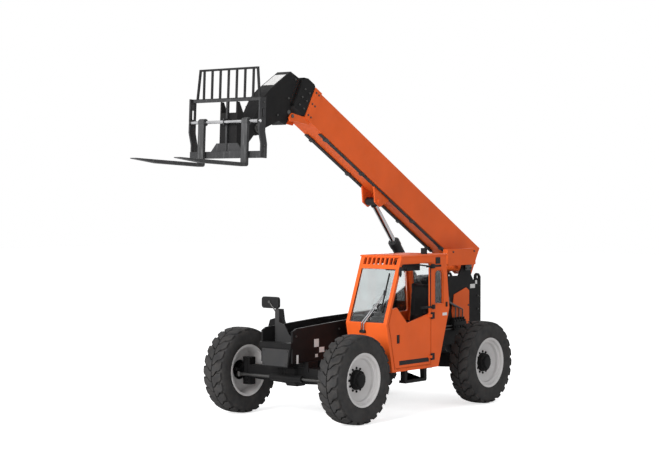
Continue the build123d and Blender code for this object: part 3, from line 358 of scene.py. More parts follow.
def make_rubber(name, colour, dust):
    tree, shader = start_finish(name, 0.8)
    body = add_ramp(tree, add_noise(tree, 4.0, 8.0), shade(colour, 0.8), shade(colour, 1.2))
    film = add_range(tree, add_noise(tree, 11.0, 12.0), 0.0, dust)
    tree.links.new(add_mix(tree, film, body, DUST), shader.inputs["Base Color"])
    add_bump(tree, shader, add_noise(tree, 240.0, 6.0), 0.15, 0.001)
    set_inputs(shader, {"Specular IOR Level": DULL})


make_rubber("tyre_rubber", (0.030, 0.030, 0.031), 0.06)


def make_grained(name, colour, roughness, grain, depth):
    # moulded plastic and vinyl share a pebbled grain, coarse on the seat and fine on the trim
    tree, shader = start_finish(name, roughness)
    body = add_ramp(tree, add_noise(tree, 5.0), shade(colour, 0.85), shade(colour, 1.15))
    tree.links.new(body, shader.inputs["Base Color"])
    coordinates = tree.nodes.new("ShaderNodeTexCoord")
    cells = tree.nodes.new("ShaderNodeTexVoronoi")
    set_inputs(cells, {"Scale": grain})
    tree.links.new(coordinates.outputs["Object"], cells.inputs["Vector"])
    add_bump(tree, shader, cells.outputs["Distance"], depth, 0.001)
    set_inputs(shader, {"Specular IOR Level": DULL})


make_grained("black_plastic", (0.013, 0.013, 0.0135), 0.5, 500.0, 0.12)
make_grained("seat_cover", (0.012, 0.012, 0.013), 0.55, 260.0, 0.3)

glass_tree, glass_shader = start_finish("window_glass", 0.03)
set_inputs(glass_shader, {"Transmission Weight": 1.0, "IOR": 1.45})
glass_tint = add_ramp(glass_tree, add_noise(glass_tree, 2.0), (0.70, 0.73, 0.73), (0.76, 0.785, 0.785))
glass_tree.links.new(glass_tint, glass_shader.inputs["Base Color"])
haze = add_range(glass_tree, add_noise(glass_tree, 7.0, 8.0), 0.02, 0.09)
glass_tree.links.new(haze, glass_shader.inputs["Roughness"])
print("soft finishes and glass ready")

# %% [markdown]
# ## Rounded edges on the CAD solids
# A pressed or welded plate never has a razor edge: the small rounding catches the light and draws each
# edge. A CAD mesh is loose triangles, so a few modifiers work in turn: Weld joins the triangles, a planar
# Decimate makes each flat face one face again, and Bevel rounds every edge that is sharper than its
# angle. A small node group then shades gentle edges smooth, so a many-sided bar looks round, and Weighted
# Normal keeps the large faces flat. The CAD mesh itself is untouched.

# %% Finish and soften the CAD solids
own_finish = {"carriage_frame": "carriage_steel"}
EDGE = 0.004
WELD_GAP = 0.00002
FLAT_BELOW = radians(0.5)
ROUND_ABOVE = radians(25)
SMOOTH_BELOW = radians(32)


def make_smoothing():
    # a modifier group: every face smooth, except across edges that are sharper than the limit
    group = bpy.data.node_groups.new("smooth_gentle_edges", "GeometryNodeTree")
    group.interface.new_socket("Geometry", in_out="INPUT", socket_type="NodeSocketGeometry")
    group.interface.new_socket("Geometry", in_out="OUTPUT", socket_type="NodeSocketGeometry")
    add, tie = group.nodes.new, group.links.new
    start, end = add("NodeGroupInput"), add("NodeGroupOutput")
    smooth_faces = add("GeometryNodeSetShadeSmooth")
    sharp_edges = add("GeometryNodeSetShadeSmooth")
    sharp_edges.domain = "EDGE"
    sharp_edges.inputs["Shade Smooth"].default_value = False
    edge_angle = add("GeometryNodeInputMeshEdgeAngle")
    steeper = add("FunctionNodeCompare")
    steeper.operation = "GREATER_THAN"
    steeper.inputs[1].default_value = SMOOTH_BELOW
    tie(start.outputs[0], smooth_faces.inputs["Geometry"])
    tie(smooth_faces.outputs[0], sharp_edges.inputs["Geometry"])
    tie(edge_angle.outputs["Unsigned Angle"], steeper.inputs[0])
    tie(steeper.outputs[0], sharp_edges.inputs["Selection"])
    tie(sharp_edges.outputs[0], end.inputs[0])
    return group


smoothing = make_smoothing()


def soften(node, width):
    weld = node.modifiers.new("weld", "WELD")
    weld.merge_threshold = WELD_GAP
    flat = node.modifiers.new("flat", "DECIMATE")
    flat.decimate_type = "DISSOLVE"
    flat.angle_limit = FLAT_BELOW
    bevel = node.modifiers.new("round", "BEVEL")
    bevel.width = width
    bevel.segments = 2
    bevel.limit_method = "ANGLE"
    bevel.angle_limit = ROUND_ABOVE
    node.modifiers.new("smooth", "NODES").node_group = smoothing
    node.modifiers.new("weights", "WEIGHTED_NORMAL").keep_sharp = True


for subpart in frame["record"]["subparts"]:
    node = nodes[subpart["node"]]
    node.data.materials.clear()
    slot = subpart["material_slot"]
    node.data.materials.append(finishes[own_finish.get(subpart["node"], slot)])
    if slot not in ("window_glass", "tyre_rubber", "rim_paint"):
        soften(node, EDGE)
print("softened", len(nodes), "nodes")

# %% [markdown]
# ## Tools for new pieces
# Every new piece is a bmesh that is filled by a few small helpers, then turned into an object that rides
# on a body of the frame. `keep_piece` does the last part once, so that no piece is forgotten.

# %% Helpers for new pieces
PIECE_SMOOTH_BELOW = radians(30)


def keep_piece(shape, name, body, slot, finish=None, instead_of=()):
    # closes a bmesh into a named object on a body; gentle edges are shaded smooth
    bmesh.ops.remove_doubles(shape, verts=shape.verts, dist=0.00001)
    bmesh.ops.recalc_face_normals(shape, faces=shape.faces)
    piece = add_object(shape, name)
    piece.data.shade_smooth()
    piece.data.set_sharp_from_angle(angle=PIECE_SMOOTH_BELOW)
    piece.data.materials.append(finishes[finish or slot])
    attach(piece, body)
    if instead_of:
        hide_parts(*instead_of)
    return piece


def spin_outline(shape, outline, steps, closed=True):
    # turns an outline of (along Y, radius) points round the Y axis
    corners = [shape.verts.new((radius, along, 0)) for along, radius in outline]
    pairs = list(zip(corners, corners[1:]))
    if closed:
        pairs.append((corners[-1], corners[0]))
    edges = [shape.edges.new(pair) for pair in pairs]
    bmesh.ops.spin(shape, geom=corners + edges, cent=(0, 0, 0), axis=(0, 1, 0), angle=2 * pi, steps=steps,
                   use_merge=True)


def turned(outline, steps, place):
    # a new shape that starts with an open outline, spun and put in its place
    shape = bmesh.new()
    spin_outline(shape, outline, steps, closed=False)
    bmesh.ops.transform(shape, matrix=place, verts=shape.verts)
    return shape


def only_corners(parts):
    return [part for part in parts if isinstance(part, bmesh.types.BMVert)]


def round_edges(shape, edges, width):
    bmesh.ops.bevel(shape, geom=edges, offset=width, offset_type="OFFSET", segments=2, profile=0.5,
                    affect="EDGES", material=-1, clamp_overlap=True)


def add_block(shape, low, high, edge=0.004, place=None):
    # a box between two corners with rounded edges
    low, high = Vector(low), Vector(high)
    size = Matrix.Diagonal((*(high - low), 1))
    box = bmesh.ops.create_cube(shape, size=1.0, matrix=Matrix.Translation((low + high) / 2) @ size)
    corners = box["verts"]
    if place:
        bmesh.ops.transform(shape, matrix=place, verts=corners)
    round_edges(shape, list({e for v in corners for e in v.link_edges}), edge)


def add_rod(shape, start, end, radius, sides=24, end_radius=None):
    start, end = Vector(start), Vector(end)
    turn = (end - start).to_track_quat("Z", "Y").to_matrix().to_4x4()
    bmesh.ops.create_cone(shape, cap_ends=True, segments=sides, radius1=radius, radius2=end_radius or radius,
                          depth=(end - start).length, matrix=Matrix.Translation((start + end) / 2) @ turn)


def add_bolt(shape, place, outwards, width):
    # a washer and a six-sided head
    place, outwards = Vector(place), Vector(outwards).normalized()
    add_rod(shape, place, place + outwards * width * 0.15, width * 0.62, 12)
    add_rod(shape, place, place + outwards * width * 0.55, width * 0.5, 6)


def add_bolt_ring(shape, bolts, radius, along, width, first=0.0):
    # bolts round the Y axis that face along it
    for count in range(bolts):
        turn = 2 * pi * (count + first) / bolts
        add_bolt(shape, (radius * cos(turn), along, radius * sin(turn)), ACROSS, width)


print("helpers ready")

# %% [markdown]
# ## Tyres
# The tyre is a wide casing with a smooth wall and deep blocks that leave narrow zigzag channels. The
# casing is one outline spun round the axle. A block starts as a small grid that is bent round the tread,
# bowed by its own sweep, given its depth with solidify and rounded with a bevel, and is then copied round
# both sides, half a step apart.

# %% Tyre
HALF_WIDTH = 0.1875
TREAD_R = 0.6485
CASING_R = 0.614
BEAD_R = 0.373
TYRE_STEPS = 96
BLOCKS = 24
BLOCK_WIDTH = 0.149
BLOCK_DEPTH = 0.052
BLOCK_EDGE = 0.006
SHARP_ABOVE = radians(50)
SHOULDER_TAPER = 0.30
SHOULDER_DROP = 0.016
wall_side = [(0.150, BEAD_R), (0.163, 0.384), (0.1715, 0.402), (0.1740, 0.412), (0.1800, 0.420),
             (0.1865, 0.455), (HALF_WIDTH, 0.500), (0.1855, 0.540), (0.180, 0.572), (0.168, 0.597),
             (0.150, 0.609), (0.090, CASING_R)]


def block_middle(share):
    # how far round the tyre the block's middle lies, from the centre channel (0) to the shoulder (1)
    return 0.052 - 0.104 * share + 0.013 * sin(share * 3 * pi)


def make_tyre():
    shape = bmesh.new()
    spin_outline(shape, wall_side + [(-along, radius) for along, radius in reversed(wall_side)], TYRE_STEPS)
    casing = set(shape.verts)
    grid = bmesh.ops.create_grid(shape, x_segments=4, y_segments=9, size=0.5)["verts"]
    for corner in grid:
        share = corner.co.y + 0.5
        along = 0.007 + 0.165 * share
        width = BLOCK_WIDTH * (1 - SHOULDER_TAPER * share ** 2)
        turn = (block_middle(share) + width * corner.co.x) / TREAD_R
        radius = TREAD_R - SHOULDER_DROP * share ** 3
        corner.co = Vector((radius * sin(turn), along, radius * cos(turn)))
    faces = list({face for corner in grid for face in corner.link_faces})
    bmesh.ops.recalc_face_normals(shape, faces=faces)
    bmesh.ops.solidify(shape, geom=faces, thickness=BLOCK_DEPTH)
    block = [corner for corner in shape.verts if corner not in casing]
    edges = {edge for corner in block for edge in corner.link_edges}
    round_edges(shape, [edge for edge in edges if edge.calc_face_angle(0) > SHARP_ABOVE], BLOCK_EDGE)
    block = [part for part in list(shape.verts) + list(shape.edges) + list(shape.faces)
             if not (casing & (set(part.verts) if hasattr(part, "verts") else {part}))]
    other = bmesh.ops.duplicate(shape, geom=block)["geom"]
    bmesh.ops.scale(shape, vec=(1, -1, 1), verts=only_corners(other))
    step = 2 * pi / BLOCKS
    half_step = Matrix.Rotation(step / 2, 3, "Y")
    bmesh.ops.rotate(shape, cent=(0, 0, 0), matrix=half_step, verts=only_corners(other))
    for count in range(1, BLOCKS):
        copy = bmesh.ops.duplicate(shape, geom=block + other)["geom"]
        turn = Matrix.Rotation(step * count, 3, "Y")
        bmesh.ops.rotate(shape, cent=(0, 0, 0), matrix=turn, verts=only_corners(copy))
    return shape


# %% [markdown]
# ## Rims, hubs and nuts
# The rim is a deep dish with concentric steps, which a spun outline gives in one go. The hub that stands
# out of it holds the planetary gears: it is black, with a bolted cover, and the wheel nuts sit on the
# disc round its foot.

# %% Rim and hub
rim_outline = [(-0.168, 0.358), (-0.173, 0.388), (-0.162, 0.392), (-0.150, BEAD_R), (0.150, BEAD_R),
               (0.162, 0.392), (0.1705, 0.3915), (0.173, 0.386), (0.169, 0.366), (0.160, 0.356),
               (0.124, 0.349), (0.119, 0.344), (0.117, 0.318), (0.112, 0.312), (0.074, 0.304),
               (0.066, 0.296), (0.040, 0.204), (0.031, 0.194), (0.030, 0.120), (0.012, 0.120),
               (0.012, 0.328), (-0.150, 0.350)]
hub_outline = [(0.012, 0.0), (0.012, 0.148), (0.046, 0.148), (0.052, 0.143), (0.088, 0.138), (0.098, 0.132),
               (0.103, 0.124), (0.103, 0.098), (0.124, 0.092), (0.132, 0.084), (0.134, 0.074), (0.134, 0.0)]
WHEEL_NUTS = 12
COVER_BOLTS = 10


def make_rim():
    shape = bmesh.new()
    spin_outline(shape, rim_outline, TYRE_STEPS)
    return shape


def make_hub():
    shape = bmesh.new()
    spin_outline(shape, hub_outline, 64, closed=False)
    add_bolt_ring(shape, WHEEL_NUTS, 0.170, 0.030, 0.030)
    add_bolt_ring(shape, COVER_BOLTS, 0.111, 0.103, 0.018, first=0.5)
    return shape


# %% Put the wheels on
wheel_pieces = [
    (make_tyre, "tyre_tread_", "tyre_rubber", "tyre_"),
    (make_rim, "dished_rim_", "rim_paint", "rim_"),
    (make_hub, "planet_hub_", "black_paint", None),
]
for corner_name in ("fl", "fr", "rl", "rr"):
    low, high = box_corners("rim_" + corner_name)
    middle = (low + high) / 2
    side = 1 if middle.y > 0 else -1
    place = Matrix.Translation(middle) @ Matrix.Diagonal((1, side, 1, 1))
    for make, name, slot, replaced in wheel_pieces:
        shape = make()
        bmesh.ops.transform(shape, matrix=place, verts=shape.verts)
        instead_of = [replaced + corner_name] if replaced else []
        keep_piece(shape, name + corner_name, "wheel_" + corner_name, slot, None, instead_of)
print("wheels ready")

# %% [markdown]
# ## Lift cylinder
# The boom rides on one big hydraulic cylinder. Turned parts like this are spun from an outline. The
# outline runs along the cylinder from its base pin, so the shape is spun round Y and then laid along the
# cylinder's own line.

# %% Barrel and rod
EYE_R = 0.065
ROD_R = 0.0455
ROD_SHOWING = 0.830
ROD_INSIDE = 1.30
lift_high = box_corners("lift_rod")[1]
eye_place = Vector((lift_high.x - EYE_R, 0, lift_high.z - EYE_R))
LIFT_LENGTH = (eye_place - on_lift.translation).length
GLAND_END = LIFT_LENGTH - ROD_SHOWING
ROD_END = LIFT_LENGTH - 0.030
lay_along = on_lift @ Matrix.Rotation(-pi / 2, 4, "Z")
barrel_outline = [(0.050, 0.0), (0.050, 0.074), (0.062, 0.083), (GLAND_END - 0.112, 0.083),
                  (GLAND_END - 0.108, 0.092), (GLAND_END - 0.012, 0.092), (GLAND_END - 0.004, 0.086),
                  (GLAND_END, 0.062), (GLAND_END - 0.004, 0.047), (GLAND_END - 0.060, 0.047)]
ROD_START = GLAND_END - ROD_INSIDE
rod_outline = [(ROD_START, 0.0), (ROD_START, ROD_R), (ROD_END, ROD_R), (ROD_END, 0.0)]
shape = turned(barrel_outline, 48, lay_along)
add_rod(shape, on_lift @ Vector((0, -0.070, 0)), on_lift @ Vector((0, 0.070, 0)), 0.077, 40)
add_block(shape, (0.16, -0.035, 0.070), (0.25, 0.035, 0.112), 0.006, on_lift)
keep_piece(shape, "lift_barrel_turned", "lift_cylinder", "cylinder_paint", instead_of=["lift_barrel"])
shape = turned(rod_outline, 40, lay_along)
keep_piece(shape, "lift_rod_plated", "lift_piston", "bright_steel", instead_of=["lift_rod"])
shape = bmesh.new()
add_rod(shape, eye_place - ACROSS * 0.090, eye_place + ACROSS * 0.090, 0.064, 40)
add_rod(shape, eye_place - lift_along * 0.085, eye_place - lift_along * 0.02, 0.056, 32)
keep_piece(shape, "lift_rod_eye", "lift_piston", "cylinder_paint")
print("lift cylinder is", round(LIFT_LENGTH, 3), "m between pins")

# %% [markdown]
# ## Flat trim
# Seals, blank plates, straps and covers are all flat shapes that lie on a panel. One helper draws such an
# outline, can hollow it into a ring with inset, and gives it its thickness by extruding it. A placing
# matrix then lays it on a side panel or on the sloping windscreen.

# %% Helpers for flat trim
def on_side(y, outwards=1):
    # local X runs forward, local Y up, and local Z out of a panel that faces left (1) or right (-1)
    turn = Matrix(((1, 0, 0), (0, 0, outwards), (0, 1, 0))).to_4x4()
    return Matrix.Translation(at(0, y, 0)) @ turn


def on_front(x):
    # local X runs to the left, local Y up, and local Z out of a panel that faces forward
    return Matrix.Translation(at(x, 0, 0)) @ Matrix(((0, 0, 1), (1, 0, 0), (0, 1, 0))).to_4x4()


def add_plate(shape, outline, thickness, place, ring=0.0):
    before = set(shape.verts)
    faces = [shape.faces.new([shape.verts.new((x, y, 0)) for x, y in outline])]
    if ring:
        middle = faces[0]
        faces = bmesh.ops.inset_region(shape, faces=faces, thickness=ring, use_boundary=True,
                                       use_even_offset=True)["faces"]
        bmesh.ops.delete(shape, geom=[middle], context="FACES_ONLY")
    made = bmesh.ops.extrude_face_region(shape, geom=faces)["geom"]
    bmesh.ops.translate(shape, vec=(0, 0, thickness), verts=only_corners(made))
    bmesh.ops.transform(shape, matrix=place, verts=[corner for corner in shape.verts if corner not in before])


def rectangle(x0, x1, y0, y1):
    return [(x0, y0), (x1, y0), (x1, y1), (x0, y1)]


def add_path(shape, points, radius):
    # a bent bar: straight rods with a ball at each bend
    for start, end in zip(points, points[1:]):
        add_rod(shape, start, end, radius, 10)
    for bend in points[1:-1]:
        place = Matrix.Translation(bend)
        bmesh.ops.create_icosphere(shape, subdivisions=2, radius=radius * 1.01, matrix=place)


# %% [markdown]
# ## Seals and fittings on the cab
# The cab is a welded shell of folded sheet. What makes it read as a cab are the black lines on it: the
# rubber round the doorway and the windows, the latch straps across the rear post, the hinge block on the
# front post, and the wiper whose two arms cross the windscreen. The seals are rings that follow the
# openings of the CAD panels.

# %% Seals
CAB_LEFT = 1.210
CAB_RIGHT = 0.460
WAIST_X, WAIST_Z = 2.640, 1.410
SCREEN_LEAN = Vector((-0.3597, 0, 0.9331))
SCREEN_OUT = Vector((0.9331, 0, 0.3597))
SEAL, SCREEN_SEAL = 0.010, 0.014
SCREEN_SINK = 0.012
screen_turn = Matrix((ACROSS, SCREEN_LEAN, SCREEN_OUT)).transposed().to_4x4()
on_screen = Matrix.Translation(at(WAIST_X, 0, WAIST_Z)) @ screen_turn
on_glass = on_screen @ Matrix.Translation((0, 0, -SCREEN_SINK))
doorway = [(1.520, 0.730), (2.433, 0.730), (2.586, 1.410), (2.257, 2.280), (1.520, 2.280)]
quarter_window = [(1.415, 1.640), (1.415, 2.160), (1.231, 2.160), (1.195, 2.093), (1.195, 1.640)]
right_window = [(1.117, 1.490), (2.551, 1.459), (2.257, 2.265), (1.178, 2.265)]
shape = bmesh.new()
add_plate(shape, doorway, 0.003, on_side(CAB_LEFT), SEAL)
add_plate(shape, quarter_window, 0.003, on_side(CAB_LEFT), SEAL)
add_plate(shape, right_window, 0.003, on_side(CAB_RIGHT, -1), SEAL)
add_plate(shape, rectangle(0.520, 1.150, 0.015, 0.846), 0.010, on_glass, SCREEN_SEAL)
keep_piece(shape, "cab_seals", "chassis", "black_plastic")

# %% Straps, hinge block, latch and blank plate
shape = bmesh.new()
add_block(shape, at(1.270, CAB_LEFT, 2.206), at(1.650, 1.226, 2.238))
add_block(shape, at(1.452, CAB_LEFT, 2.188), at(1.528, 1.246, 2.254), 0.008)
add_block(shape, at(1.450, CAB_LEFT, 1.590), at(1.800, 1.224, 1.620))
add_block(shape, at(1.440, CAB_LEFT, 1.572), at(1.500, 1.240, 1.640), 0.008)
add_path(shape, [at(1.950, 1.150, 2.268), at(1.560, 1.216, 2.222)], 0.011)
add_path(shape, [at(1.545, 1.217, 1.610), at(1.545, 1.217, 2.220)], 0.007)
add_block(shape, at(2.296, CAB_LEFT, 2.110), at(2.344, 1.242, 2.216), 0.010)
add_rod(shape, at(2.320, 1.230, 2.090), at(2.320, 1.230, 2.236), 0.012)
add_block(shape, at(1.100, CAB_LEFT, 1.590), at(1.136, 1.228, 1.664), 0.006)
for x, z in ((1.30, 2.222), (1.62, 2.222), (1.77, 1.605)):
    add_bolt(shape, at(x, 1.224, z), ACROSS, 0.020)
keep_piece(shape, "cab_straps", "chassis", "black_plastic")
shape = bmesh.new()
add_plate(shape, rectangle(1.100, 1.215, 1.458, 1.502), 0.002, on_side(CAB_LEFT))
keep_piece(shape, "cab_blank_plate", "chassis", "rim_paint", "pale_plate")

# %% Wiper
wiper_end = on_screen @ Vector((1.060, 0.470, 0.020))
shape = bmesh.new()
add_path(shape, [at(2.638, 0.745, 1.285), at(2.668, 0.775, 1.412), wiper_end], 0.009)
add_path(shape, [at(2.638, 0.785, 1.285), at(2.668, 0.812, 1.404), wiper_end + ACROSS * 0.022], 0.009)
keep_piece(shape, "wiper_arms", "chassis", "bright_steel")
shape = bmesh.new()
add_block(shape, at(2.606, 0.715, 1.262), at(2.652, 0.815, 1.308), 0.010)
add_block(shape, (1.062, 0.180, 0.001), (1.078, 0.780, 0.024), 0.003, on_screen)
add_block(shape, (1.050, 0.430, 0.006), (1.090, 0.510, 0.034), 0.006, on_screen)
keep_piece(shape, "wiper_blade", "chassis", "black_plastic")
print("cab fittings ready")

# %% [markdown]
# ## Door
# The lower door is a pressed panel with a paddle handle in a pocket. A plain black strip runs along its
# foot. Both ride on the door's body, so they swing with it.

# %% Door handle and strip
shape = bmesh.new()
add_plate(shape, rectangle(2.303, 2.377, 1.109, 1.236), 0.003, on_side(1.1985))
add_block(shape, at(2.318, 1.2005, 1.128), at(2.362, 1.2075, 1.216), 0.003)
add_plate(shape, rectangle(1.570, 2.320, 0.785, 0.850), 0.0015, on_side(1.208))
keep_piece(shape, "door_handle_and_strip", "door", "black_plastic")
print("door ready")

# %% [markdown]
# ## Seat
# The seat is foam in a vinyl cover, so it is swollen between its seams and has no flat face. Each pad
# starts as a slightly smaller block that is remeshed into small even faces. A short cloth simulation with
# pressure inside then blows it up, a cap keeps it from growing past the room that the CAD solid holds,
# and the sewn channels are pressed in afterwards.

# %% Padding helper
PAD_VOXEL = 0.006
PAD_PRESSURE = 4.0
PAD_FRAMES = 20
CHANNEL_WIDTH = 0.008


def swell(piece, cap):
    # one short cloth run; each point moves no further than the cap
    remesh = piece.modifiers.new("even", "REMESH")
    remesh.mode = "VOXEL"
    remesh.voxel_size = PAD_VOXEL
    bpy.context.view_layer.objects.active = piece
    bpy.ops.object.modifier_apply(modifier="even")
    start = [corner.co.copy() for corner in piece.data.vertices]
    cloth = piece.modifiers.new("foam", "CLOTH")
    cloth.settings.use_pressure = True
    cloth.settings.uniform_pressure_force = PAD_PRESSURE
    cloth.settings.effector_weights.gravity = 0
    cloth.point_cache.frame_start = 1
    cloth.point_cache.frame_end = PAD_FRAMES
    for count in range(1, PAD_FRAMES + 1):
        bpy.context.scene.frame_set(count)
    bpy.ops.object.modifier_apply(modifier="foam")
    bpy.context.scene.frame_set(1)
    for corner, first in zip(piece.data.vertices, start):
        move = corner.co - first
        if move.length > cap:
            corner.co = first + move.normalized() * cap


def press_channels(piece, measure, lines, depth):
    # sews channels into a pad: points near a line sink towards the pad's middle
    middle = sum((corner.co for corner in piece.data.vertices), Vector()) / len(piece.data.vertices)
    for corner in piece.data.vertices:
        place = measure(corner.co)
        sink = sum(2.718 ** (-((place - line) / CHANNEL_WIDTH) ** 2) for line in lines)
        corner.co += (middle - corner.co).normalized() * depth * min(sink, 1.0)


def make_pad(name, low, high, place, edge, cap):
    shape = bmesh.new()
    add_block(shape, low, high, edge, place)
    bmesh.ops.recalc_face_normals(shape, faces=shape.faces)
    piece = add_object(shape, name)
    swell(piece, cap)
    piece.data.materials.append(finishes["seat_cover"])
    return piece


def keep_pad(piece):
    piece.data.shade_smooth()
    finer = piece.modifiers.new("finer", "SUBSURF")
    finer.levels = 1
    finer.render_levels = 1
    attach(piece, "chassis")


# %% Seat pads
SEAT_X, SEAT_LOW = 1.320, 1.020
BACK_LEAN = radians(6.5)
SEAMS_Y = (0.735, 0.925)
back_place = Matrix.Translation(at(SEAT_X + 0.020, 0, SEAT_LOW + 0.130)) @ Matrix.Rotation(-BACK_LEAN, 4, "Y")
cushion_low = at(SEAT_X + 0.030, 0.628, SEAT_LOW + 0.014)
cushion_high = at(SEAT_X + 0.495, 1.032, SEAT_LOW + 0.090)
cushion = make_pad("seat_cushion", cushion_low, cushion_high, None, 0.022, 0.024)
press_channels(cushion, lambda co: co.y, SEAMS_Y, 0.010)
press_channels(cushion, lambda co: co.x, (at(SEAT_X + 0.36, 0, 0).x,), 0.008)
keep_pad(cushion)
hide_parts("cab_seat")
backrest = make_pad("seat_back", (-0.085, 0.632, 0.012), (0.0, 1.028, 0.800), back_place, 0.026, 0.022)
press_channels(backrest, lambda co: co.y, SEAMS_Y, 0.010)
press_channels(backrest, lambda co: co.z, (SEAT_LOW + 0.43, SEAT_LOW + 0.70), 0.008)
keep_pad(backrest)
print("pads of", len(cushion.data.vertices), "and", len(backrest.data.vertices), "points")

# %% Seat frame and suspension
BELLOWS = 5
FOLD = 0.040
ARM_TOP = SEAT_LOW + 0.345
shape = bmesh.new()
add_block(shape, at(SEAT_X + 0.080, 0.660, 0.730), at(SEAT_X + 0.430, 1.000, 0.790), 0.010)
for count in range(BELLOWS):
    inset = 0.030 if count % 2 else 0.012
    foot = 0.790 + FOLD * count
    low = at(SEAT_X + 0.070 + inset, 0.650 + inset, foot)
    add_block(shape, low, at(SEAT_X + 0.440 - inset, 1.010 - inset, foot + FOLD), 0.012)
add_block(shape, at(SEAT_X + 0.030, 0.640, 0.990), at(SEAT_X + 0.470, 1.020, 1.022), 0.008)
add_block(shape, (-0.108, 0.650, 0.040), (-0.088, 1.010, 0.760), 0.008, back_place)
keep_piece(shape, "seat_frame", "chassis", "black_plastic")
shape = bmesh.new()
for y in (0.622, 1.010):
    add_block(shape, at(SEAT_X + 0.030, y, SEAT_LOW + 0.300), at(SEAT_X + 0.330, y + 0.030, ARM_TOP), 0.012)
    add_block(shape, at(SEAT_X - 0.030, y, SEAT_LOW + 0.280), at(SEAT_X + 0.040, y + 0.026, ARM_TOP), 0.008)
keep_piece(shape, "seat_armrests", "chassis", "black_plastic")
print("seat ready")

# %% [markdown]
# ## Controls
# The steering wheel is a round rim on three spokes. A torus is a small circle spun round an axis, so the
# same spin that makes the tyres makes the rim too. Levers with knobs stand on the side console, and the
# dash has a hooded panel with plain round dials.

# %% Steering wheel
WHEEL_TILT = radians(40)
COLUMN_Y = 0.830
GRIP_R, GRIP_SIDES, RIM_R = 0.013, 10, 0.176
wheel_axis = Vector((-sin(WHEEL_TILT), 0, cos(WHEEL_TILT)))
wheel_turn = wheel_axis.to_track_quat("Y", "X").to_matrix().to_4x4()
wheel_place = Matrix.Translation(at(2.180, COLUMN_Y, 1.560)) @ wheel_turn
grip_turns = [2 * pi * count / GRIP_SIDES for count in range(GRIP_SIDES)]
rim_circle = [(GRIP_R * sin(turn), RIM_R + GRIP_R * cos(turn)) for turn in grip_turns]
hub_profile = [(-0.030, 0.0), (-0.030, 0.034), (-0.006, 0.044), (0.012, 0.044), (0.020, 0.036), (0.022, 0.0)]
shape = bmesh.new()
spin_outline(shape, rim_circle, 48)
spin_outline(shape, hub_profile, 32, closed=False)
for count in range(3):
    turn = Matrix.Rotation(2 * pi * count / 3, 4, "Y")
    add_block(shape, (0.030, -0.006, -0.015), (0.170, 0.006, 0.015), 0.004, turn)
bmesh.ops.transform(shape, matrix=wheel_place, verts=shape.verts)
add_rod(shape, at(2.196, COLUMN_Y, 1.541), at(2.262, COLUMN_Y, 1.462), 0.026)
add_rod(shape, at(2.345, COLUMN_Y, 0.732), at(2.235, COLUMN_Y, 1.490), 0.058, 24, 0.046)
add_block(shape, at(2.270, 0.760, 0.728), at(2.420, 0.900, 0.760), 0.010)
keep_piece(shape, "steering_column", "chassis", "black_plastic", instead_of=["cab_steering"])

# %% Dash, levers and pedals
shape = bmesh.new()
add_block(shape, at(2.400, 0.700, 1.470), at(2.520, 0.960, 1.556), 0.018)
for y in (0.750, 0.830, 0.910):
    add_rod(shape, at(2.402, y, 1.515), at(2.392, y, 1.513), 0.030, 24, 0.027)
for x, y, top in ((1.900, 0.545, 1.560), (1.980, 0.560, 1.600), (1.820, 0.545, 1.540)):
    knob = at(x + 0.019, y + 0.01, top - 0.012)
    add_rod(shape, at(x, y, 1.250), at(x + 0.02, y + 0.01, top), 0.008)
    add_rod(shape, knob, at(x + 0.021, y + 0.01, top + 0.048), 0.017, 16, 0.024)
for y in (0.720, 0.940):
    add_block(shape, at(2.375, y - 0.045, 0.800), at(2.400, y + 0.045, 0.930), 0.006)
    add_rod(shape, at(2.395, y, 0.880), at(2.452, y, 0.905), 0.012)
keep_piece(shape, "dash_and_levers", "chassis", "black_plastic")
print("controls ready")

# %% [markdown]
# ## Boom head and wear-pad collar
# Bolts hold the sliding pads round each boom section, and a pin with a keeper plate carries the carriage.
# A bolt is a washer and a six-sided head, and rows of them are placed in the boom's own directions. A
# blank plate lies on the sloping front of the head.

# %% Bolts and plates on the boom
COLLAR_Y, MOUTH_Y, HEAD_Y = 0.176, 0.182, 0.128
COLLAR_U = (4.740, 4.850)


def add_side_bolts(shape, places, y, width):
    # the same bolts on both sides of the boom; a place is (along, up)
    for side in (1, -1):
        for u, v in places:
            add_bolt(shape, boom_at(u, side * y, v), ACROSS * side, width)


def add_band(shape, start, end, outer, inner, edge):
    # four bars round the boom; outer and inner are (half width, low, high)
    half, low, high = outer
    half_in, low_in, high_in = inner
    for y0, y1, v0, v1 in ((-half, -half_in, low, high), (half_in, half, low, high),
                           (-half, half, high_in, high), (-half, half, low, low_in)):
        add_block(shape, (start, y0, v0), (end, y1, v1), edge, on_boom)


shape = bmesh.new()
add_side_bolts(shape, [(u, v) for u in COLLAR_U for v in (0.120, 0.250, 0.385)], COLLAR_Y, 0.026)
for u in COLLAR_U:
    for y in (-0.080, 0.080):
        add_bolt(shape, boom_at(u, y, 0.563), boom_up, 0.026)
keep_piece(shape, "collar_bolts", "boom_middle", "dark_steel")
shape = bmesh.new()
add_band(shape, 4.9485, 4.9515, (0.172, 0.038, 0.522), (0.1325, 0.068, 0.487), 0.001)
keep_piece(shape, "collar_mouth_ring", "boom_middle", "black_paint")
shape = bmesh.new()
add_side_bolts(shape, [(u, v) for u in (4.540, 4.610) for v in (0.090, 0.280, 0.470)], MOUTH_Y, 0.024)
for side in (1, -1):
    add_rod(shape, boom_at(4.896, side * 0.138, -0.105), boom_at(4.896, side * 0.180, -0.105), 0.026)
keep_piece(shape, "boom_mouth_bolts", "boom", "dark_steel")

